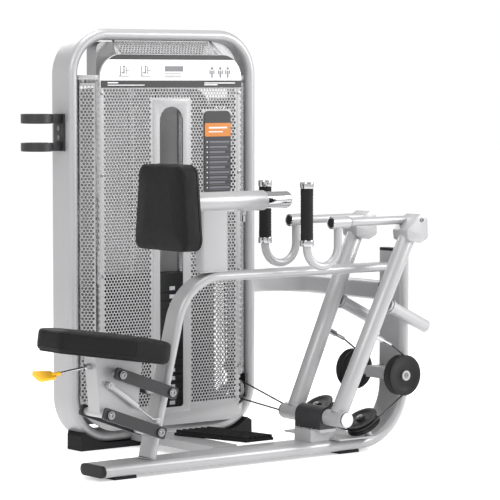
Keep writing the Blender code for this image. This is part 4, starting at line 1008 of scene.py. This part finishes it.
def chest_pad():
    corners = [(-0.151, 0.750, 0.032), (0.151, 0.750, 0.032), (0.122, 1.034, 0.036), (-0.122, 1.034, 0.036)]
    core = plate([rounded(corners, 8)], "YZ", 0.0755, 0.1455, 0.0)

    def chest_swell(place):
        return swell(0.146 - place.x, 0.02, near_edge(corners, place.y, place.z))

    cushion = padded_form("chest_cushion", core, "chest_unit", "chest_pad", chest_swell)
    for name, x, radius in (("chest_piping", 0.134, 0.0018), ("chest_welt", 0.080, 0.0013)):
        outline = [Vector((x, point.x, point.y)) for point in rounded(corners, 10)]
        seam = [on_cushion(cushion, point, Vector((x, 0, 0.892))) for point in outline]
        piece(name, wire(seam + seam[:1], radius, 4), "chest_unit", "upholstery")
    board = [(x * 0.95, 0.892 + (z - 0.892) * 0.95, radius * 0.9) for x, z, radius in corners]
    board = plate([rounded(board, 8)], "YZ", 0.1440, 0.1480, 0.001)
    piece("chest_back_board", board, "chest_unit", "black_plastic")


def seat_pad():
    corners = [(-0.202, -0.076, 0.03), (0.035, -0.147, 0.08), (0.202, -0.147, 0.045)]
    corners += [(x, -y, radius) for x, y, radius in reversed(corners)]
    lean = Matrix.Translation(PAD_CENTRE) @ Matrix.Rotation(PAD_TILT, 4, "Y")
    core = plate([rounded(corners, 8)], "XY", -0.036, 0.0315, 0.0)
    bmesh.ops.transform(core, matrix=lean, verts=core.verts)
    back = lean.inverted()

    def seat_swell(place):
        local = back @ place
        return swell(local.z + 0.036, 0.02, near_edge(corners, local.x, local.y))

    cushion = padded_form("seat_cushion", core, "seat_unit", "seat_pad", seat_swell)

    def on_seat(x, y, z):
        return on_cushion(cushion, lean @ Vector((x, y, z)), lean @ Vector((0, 0, z)))

    for name, z, radius in (("seat_piping", -0.024, 0.0018), ("seat_welt", 0.026, 0.0013)):
        seam = [on_seat(point.x, point.y, z) for point in rounded(corners, 10)]
        piece(name, wire(seam + seam[:1], radius, 4), "seat_unit", "upholstery")
    seams = bmesh.new()
    for x, y in ((-0.196, 0.074), (0.045, 0.1495), (0.199, 0.137)):
        for side in (-1, 1):
            run = [on_seat(x, side * y, -0.024 + 0.010 * step) for step in range(6)]
            seams = merged(seams, wire(run, 0.0011, 3))
    piece("seat_side_seams", seams, "seat_unit", "upholstery")
    base = [(x * 0.965, y * 0.95, radius * 0.9) for x, y, radius in corners]
    base = plate([rounded(base, 8)], "XY", -0.0398, -0.0355, 0.001)
    bmesh.ops.transform(base, matrix=lean, verts=base.verts)
    piece("seat_board", base, "seat_unit", "black_plastic")


# ---- Arms, handles and grips ----


def at_arm(along_arm, behind, sign):
    """A point beside the arm's middle line, which spreads outward towards the head."""
    y = sign * (ARM_LOW_Y + (ARM_TOP_Y - ARM_LOW_Y) * along_arm / ARM_LENGTH)
    return PIVOT + ARM_DIR * along_arm + BACK_DIR * behind + Vector((0, y, 0))


def arm_skin(side, sign):
    lever, hub_length = f"{side}_lever", HUB_OUT - HUB_IN
    hub = [(0.0157, 0.0), (0.0157, hub_length), (0.0275, hub_length), (0.029, hub_length - 0.0015)]
    hub = turned(hub + [(0.029, 0.0015), (0.0275, 0.0)], PIVOT + Vector((0, sign * HUB_IN, 0)), (0, sign, 0))
    arm_tube = bar(at_arm(0.016, 0, sign), at_arm(ARM_LENGTH, 0, sign), ARM_R, 0.001, 72)
    outline = [(1.024, 0.755, 0.010), (1.020, 0.788, 0.008), (1.060, 0.830, 0.02), (1.088, 0.846, 0.014)]
    outline += [(1.114, 0.832, 0.02), (1.118, 0.758, 0.015), (1.080, 0.742, 0.01)]
    low_y, high_y = sorted((sign * HEAD_IN, sign * HEAD_OUT))
    head = plate([rounded(outline, 8)], "XZ", low_y, high_y, 0.004)
    tube_y = sign * HANDLE_Y
    cross = bar((1.06, tube_y, HANDLE_Z), (0.728, tube_y, HANDLE_Z), 0.015, 0.001, 56)
    piece(f"{side}_arm_skin", merged(hub, arm_tube, head, cross), lever, "silver_paint", [f"{side}_arm"])
    hub_weld = []
    for step in range(49):
        turn = 2 * math.pi * step / 48
        aside = Vector((0, 0.0295 * math.sin(turn), 0))
        hub_weld.append(at_arm(0.0290, 0.0295 * math.cos(turn), sign) + aside)
    piece(f"{side}_arm_weld", wire(hub_weld, 0.0022, 3), lever, "silver_paint")
    seal = [(0.0159, 0.0), (0.0255, 0.0), (0.0255, 0.0012), (0.0159, 0.0012)]
    seal = turned(seal, PIVOT + Vector((0, sign * (HUB_OUT - 0.0008), 0)), (0, sign, 0), 48)
    piece(f"{side}_hub_bush", seal, lever, "black_plastic")
    cap = [(CORE_R, 0.0), (0.0185, 0.0), (0.0205, 0.0014), (0.0185, 0.0040), (CORE_R, 0.0044)]
    tip = at_arm(0.444, 0.228, sign)
    piece(f"{side}_weight_cap", turned(cap, tip - BACK_DIR * 0.0022, BACK_DIR, 48), lever, "silver_paint")
    spots = [(1.088, sign * (HEAD_OUT + 0.0002), 0.824)]
    bolt_set(f"{side}_head_bolt", spots, (0, sign, 0), body=lever)


def handle_skin(side, sign):
    unit, y = f"{side}_handle_unit", sign * HANDLE_Y
    mouth = (0.7215, y, HANDLE_Z)
    sleeve = [(CORE_R, 0.0), (CORE_R, 0.006), (0.0156, 0.006), (0.0156, 0.0785)]
    sleeve += [(0.0205, 0.0785), (0.022, 0.077), (0.022, 0.0015), (0.0205, 0.0)]
    sleeve = turned(sleeve, mouth, (1, 0, 0))
    bend, bottom, tube_r = 0.0695, 0.6737, 0.014
    leg_x = GRIP_X + 2 * bend
    flat = [(leg_x, HANDLE_Z - 0.012, 0), (leg_x, bottom, bend - 0.0005)]
    flat += [(GRIP_X, bottom, bend - 0.0005), (GRIP_X, 0.962, 0)]
    tube = wire([Vector((point.x, y, point.y)) for point in rounded(flat, 22)], tube_r, 12)
    piece(f"{side}_u_tube", merged(sleeve, tube), unit, "silver_paint", [f"{side}_handle"])
    rings = []
    for low, high in ((GRIP_LOW - 0.022, GRIP_LOW - 0.0003), (GRIP_HIGH + 0.0003, GRIP_HIGH + 0.022)):
        rings.append(bar((GRIP_X, y, low), (GRIP_X, y, high), 0.024, 0.002, 64))
    bush = bar((0.7995, y, HANDLE_Z), (0.8035, y, HANDLE_Z), 0.0195, 0.001, 48)
    plug = [(CORE_R, -0.0022), (0.0125, -0.0020), (0.0165, -0.0006), (0.0165, 0.0010), (CORE_R, 0.0010)]
    bush = merged(bush, turned(plug, mouth, (1, 0, 0), 48))
    trim = [(0.0164, -0.0012), (0.0190, -0.0018), (0.0212, -0.0006), (0.0212, 0.0008), (0.0164, 0.0008)]
    rings.append(turned(trim, mouth, (1, 0, 0), 48))
    piece(f"{side}_grip_collars", merged(*rings), unit, "chrome")
    piece(f"{side}_swivel_bush", bush, unit, "black_plastic")
    profile = [(0.0146, GRIP_LOW), (0.0146, GRIP_HIGH), (0.0205, GRIP_HIGH)]
    steps = 34
    for step in range(steps + 1):
        z = GRIP_HIGH - 0.002 - (GRIP_HIGH - GRIP_LOW - 0.004) * step / steps
        dent = 0.0009 if step % 2 and 3 < step < steps - 3 else 0.0
        profile.append((0.0220 - dent, z))
    profile.append((0.0205, GRIP_LOW))
    grip = turned(profile, (GRIP_X, y, 0), (0, 0, 1))
    piece(f"{side}_grip_rubber", grip, unit, "rubber", [f"{side}_grip"])


def shaft_ends():
    for side, sign in SIDES:
        base = PIVOT + Vector((0, sign * (HUB_OUT + 0.0006), 0))
        cap = [(CORE_R, 0.0), (0.0265, 0.0), (0.0265, 0.0055), (0.0245, 0.0073)]
        cap += [(0.012, 0.0073), (0.0105, 0.0050), (CORE_R, 0.0050)]
        piece(f"{side}_shaft_cap", turned(cap, base, (0, sign, 0)), "frame", "steel")
        # The black hexagon in the cap's recess is painted shade, standing in for the dark hole of a hexagon
        # socket.
        socket = [(CORE_R, 0.0045), (0.0062, 0.0045), (0.0062, 0.0062), (0.0048, 0.0062), (CORE_R, 0.0056)]
        piece(f"{side}_shaft_socket_shade", turned(socket, base, (0, sign, 0), 6), "frame", "black_plastic")


# ---- Pulleys, cables, links and the seat's lever ----


def wheel_skin(name, node, centre, axis, sizes, webbed=False, finish="black_plastic"):
    """A grooved wheel; sizes are its radius, its groove's, half its width and its bore."""
    radius, groove_r, half, bore = sizes
    root, lip, web = groove_r - 0.0033, half * 0.8, half * 0.9
    profile = [(radius - 0.001, half), (radius, half - 0.001), (radius, lip), (root, 0.003), (root, -0.003)]
    profile += [(radius, -lip), (radius, -half + 0.001), (radius - 0.001, -half)]
    rim, hub = root - 0.006, bore + 0.010
    if webbed:
        profile += [(rim, -half), (rim - 0.003, -web), (hub + 0.002, -web), (hub, -half), (bore, -half)]
        profile += [(bore, half), (hub, half), (hub + 0.002, web), (rim - 0.003, web), (rim, half)]
    else:
        profile += [(bore, -half), (bore, half)]
    body = node.replace("pulley", "wheel")
    piece(name, turned(profile, centre, axis, 72), body, finish, [node])


def pulleys():
    for side, sign in SIDES:
        centre, outward = Vector((REAR_X, sign * REAR_Y, REAR_Z)), Vector((0, sign, 0))
        sizes = (0.072, REAR_R, 0.018, 0.0105)
        wheel_skin(f"{side}_rear_sheave", f"{side}_rear_pulley", centre, (0, 1, 0), sizes, True)
        bolt_set(f"{side}_rear_nut", [centre + outward * 0.0232], outward, 0.0075)
        centre = LOWER_AT[side]
        sizes = (0.062, LOWER_R, 0.017, 0.0085)
        wheel_skin(f"{side}_lower_sheave", f"{side}_lower_pulley", centre, LOWER_AXIS, sizes, True)
        bolt_set(f"{side}_lower_nut", [centre + LOWER_AXIS * 0.0243], LOWER_AXIS, 0.007)
    for level, centre in EXIT_AT.items():
        name, sizes = f"exit_sheave_{level}", (0.036, EXIT_R, 0.0065, 0.0055)
        wheel_skin(name, f"exit_pulley_{level}", centre, (1, 0, 0), sizes, finish="sheet_paint")
        bolt_set(name + "_nut", [centre - Vector((0.0070, 0, 0))], (-1, 0, 0))
    for label, centre in TOP_AT.items():
        name, sizes = f"top_pulley_{label}", (0.040, TOP_R, 0.007, 0.0066)
        wheel_skin(name + "_sheave", name, centre, (0, 1, 0), sizes)


FLOAT = Vector((0.844, TOWER_Y, 0.950))


def exit_arc(centre, start):
    """A cable's quarter turn round an exit pulley, up into the tower."""
    turns = [math.radians(start + (90 - start) * step / 15) for step in range(16)]
    return [centre + EXIT_R * Vector((0, math.sin(turn), -math.cos(turn))) for turn in turns]


def arm_route(sign, centre, target):
    """The cable's start at the arm, and its run round the rear and the tilted pulley."""
    y = sign * REAR_Y
    start = at_arm(0.325, 0.1085, sign)
    arrival = centre - Vector((0, LOWER_R, 0))
    bearings = []
    for point, turn in ((start, -1), (arrival, 1)):
        offset = Vector((point.x - REAR_X, point.z - REAR_Z))
        bearings.append(math.atan2(offset.y, offset.x) + turn * math.acos(REAR_R / offset.length))
    points = []
    for step in range(29):
        turn = bearings[0] + (bearings[1] - bearings[0]) * step / 28
        points.append(Vector((REAR_X + REAR_R * math.cos(turn), y, REAR_Z + REAR_R * math.sin(turn))))
    down = Vector((LOWER_AXIS.z, 0, -LOWER_AXIS.x))
    offset = target - centre
    leaving = math.atan2(offset.dot(down), offset.y) + math.pi
    leaving -= math.acos(LOWER_R / math.hypot(offset.dot(down), offset.y))
    for step in range(21):
        turn = leaving * step / 20
        points.append(centre - LOWER_R * (math.cos(turn) * Vector((0, 1, 0)) + math.sin(turn) * down))
    return start, points


def shortening_rope(name, fixed, moving, middle_body):
    """A straight rope in two runs: the fixed run rides on the frame, the moving run on the middle body."""
    middle = (fixed + moving) / 2
    gap = (moving - fixed).normalized() * 0.0003
    for label, body, arm, start, end in (
        ("fixed", "frame", "near", fixed, middle - gap),
        ("moving", middle_body, "far", middle + gap, moving),
    ):
        steps = [start.lerp(end, step / 12) for step in range(13)]
        run = piece(f"{name}_{label}", wire(steps, CABLE_R, 5), body, "cable_jacket")
        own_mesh(run)


def cables():
    tails = {"near": exit_arc(EXIT_AT["lower"], 5), "far": exit_arc(EXIT_AT["upper"], 15)}
    replaced = ["lift_cable"]
    for side, sign in SIDES:
        tail = tails[side]
        start, route = arm_route(sign, LOWER_AT[side], tail[0])
        piece(f"{side}_cable_run", wire(route + tail, CABLE_R, 5), "frame", "cable_jacket", replaced)
        replaced = []
        steps = [start.lerp(route[0], step / 16) for step in range(17)]
        run = piece(f"{side}_cable_to_arm", wire(steps, CABLE_R, 5), None, "cable_jacket")
        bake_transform(run)
        strand_y = TOWER_Y + sign * FLOAT_R
        foot = Vector((tail[-1].x, strand_y, tail[-1].z))
        head = Vector((FLOAT.x, strand_y, FLOAT.z))
        shortening_rope(f"{side}_float_strand", foot, head, "lower_rope")
    turns = [math.radians(180 - 7.5 * step) for step in range(25)]
    wrap = [FLOAT + FLOAT_R * Vector((0, math.cos(turn), math.sin(turn))) for turn in turns]
    piece("float_wrap", wire(wrap, CABLE_R, 5), "float_unit", "cable_jacket")
    route = []
    for label, first in (("left", 180), ("right", 90)):
        for step in range(13):
            turn = math.radians(first - 7.5 * step)
            route.append(TOP_AT[label] + TOP_R * Vector((math.cos(turn), 0, math.sin(turn))))
    route.append(Vector((0.844, TOWER_Y, FLOAT.z + 0.0855)))
    piece("stack_cable_run", wire(route, CABLE_R, 5), "frame", "cable_jacket", ["stack_cable"])
    fixed, moving = vectors((TOWER_X, TOWER_Y, TOP_AT["left"].z), (TOWER_X, TOWER_Y, 0.6445))
    shortening_rope("stack_cable_drop", fixed, moving, "upper_rope")


def seat_details():
    for body, pins in LINKS.items():
        heads = []
        for x, z in pins:
            for sign in (-1, 1):
                heads.append(bolt((x, sign * 0.0802, z), (0, sign, 0), 0.0095, 0.005))
        piece(body + "_bolts", merged(*heads), body, "steel")
    x, z = -0.2185, 0.375
    barrel = bar((x, 0.0002, z), (x, 0.0198, z), 0.0075, 0.001, 32)
    bent = [(x, 0.010, z), (-0.245, 0.0105, 0.3705), (-0.270, 0.012, 0.368)]
    rod = wire(vectors(*bent, (-0.310, 0.015, 0.362), (-0.350, 0.018, 0.3565)), 0.0045, 6)
    piece("lever_rod", merged(barrel, rod), "seat_lever", "chrome", ["release_lever"])
    outline = [(-0.4135, -0.032, 0.015), (-0.338, -0.020, 0.012)]
    outline += [(x, -y, radius) for x, y, radius in reversed(outline)]
    paddle = plate([rounded(outline, 10)], "XY", -0.00475, 0.00475, 0.0035)
    lean = Matrix.Translation((0, 0.020, 0.356)) @ Matrix.Rotation(math.radians(24), 4, "X")
    bmesh.ops.transform(paddle, matrix=lean, verts=paddle.verts)
    socket = bar((-0.352, 0.018, 0.3560), (-0.318, 0.0155, 0.3608), 0.0072, 0.002, 32)
    piece("lever_paddle", merged(paddle, socket), "seat_lever", "lever_yellow")


def fasteners():
    up = (0, 0, 1)
    bolt_set("pedestal_bolts", [(0.703, y, 0.0953) for y in (-0.034, 0.034)], up)
    bolt_set("axle_block_bolts", [(1.0812, y, REAR_Z + 0.0203) for y in (-0.03, 0.03)], up)
    bolt_set("low_brace_bolts", [(x, 0.50, 0.0523) for x in (0.375, 0.429)], up)
    heights = (0.26, 0.62, 0.98, 1.27)
    spots = [(TOWER_X + x, FACE_Y - 0.0004, z) for x in (-0.305, 0.305) for z in heights]
    bolt_set("shield_screws", spots, (0, -1, 0), 0.004, 0.002)


tower_skin()
rail_skin()
upright_skin()
brace_skin()
step_skin()
bottle_skin()
front_skin()
rear_skin()
placard_print()
board_print()
stack_labels()
chest_skin()
chest_pad()
seat_pad()
for side_name, side_sign in SIDES:
    arm_skin(side_name, side_sign)
    handle_skin(side_name, side_sign)
shaft_ends()
pulleys()
cables()
seat_details()
fasteners()
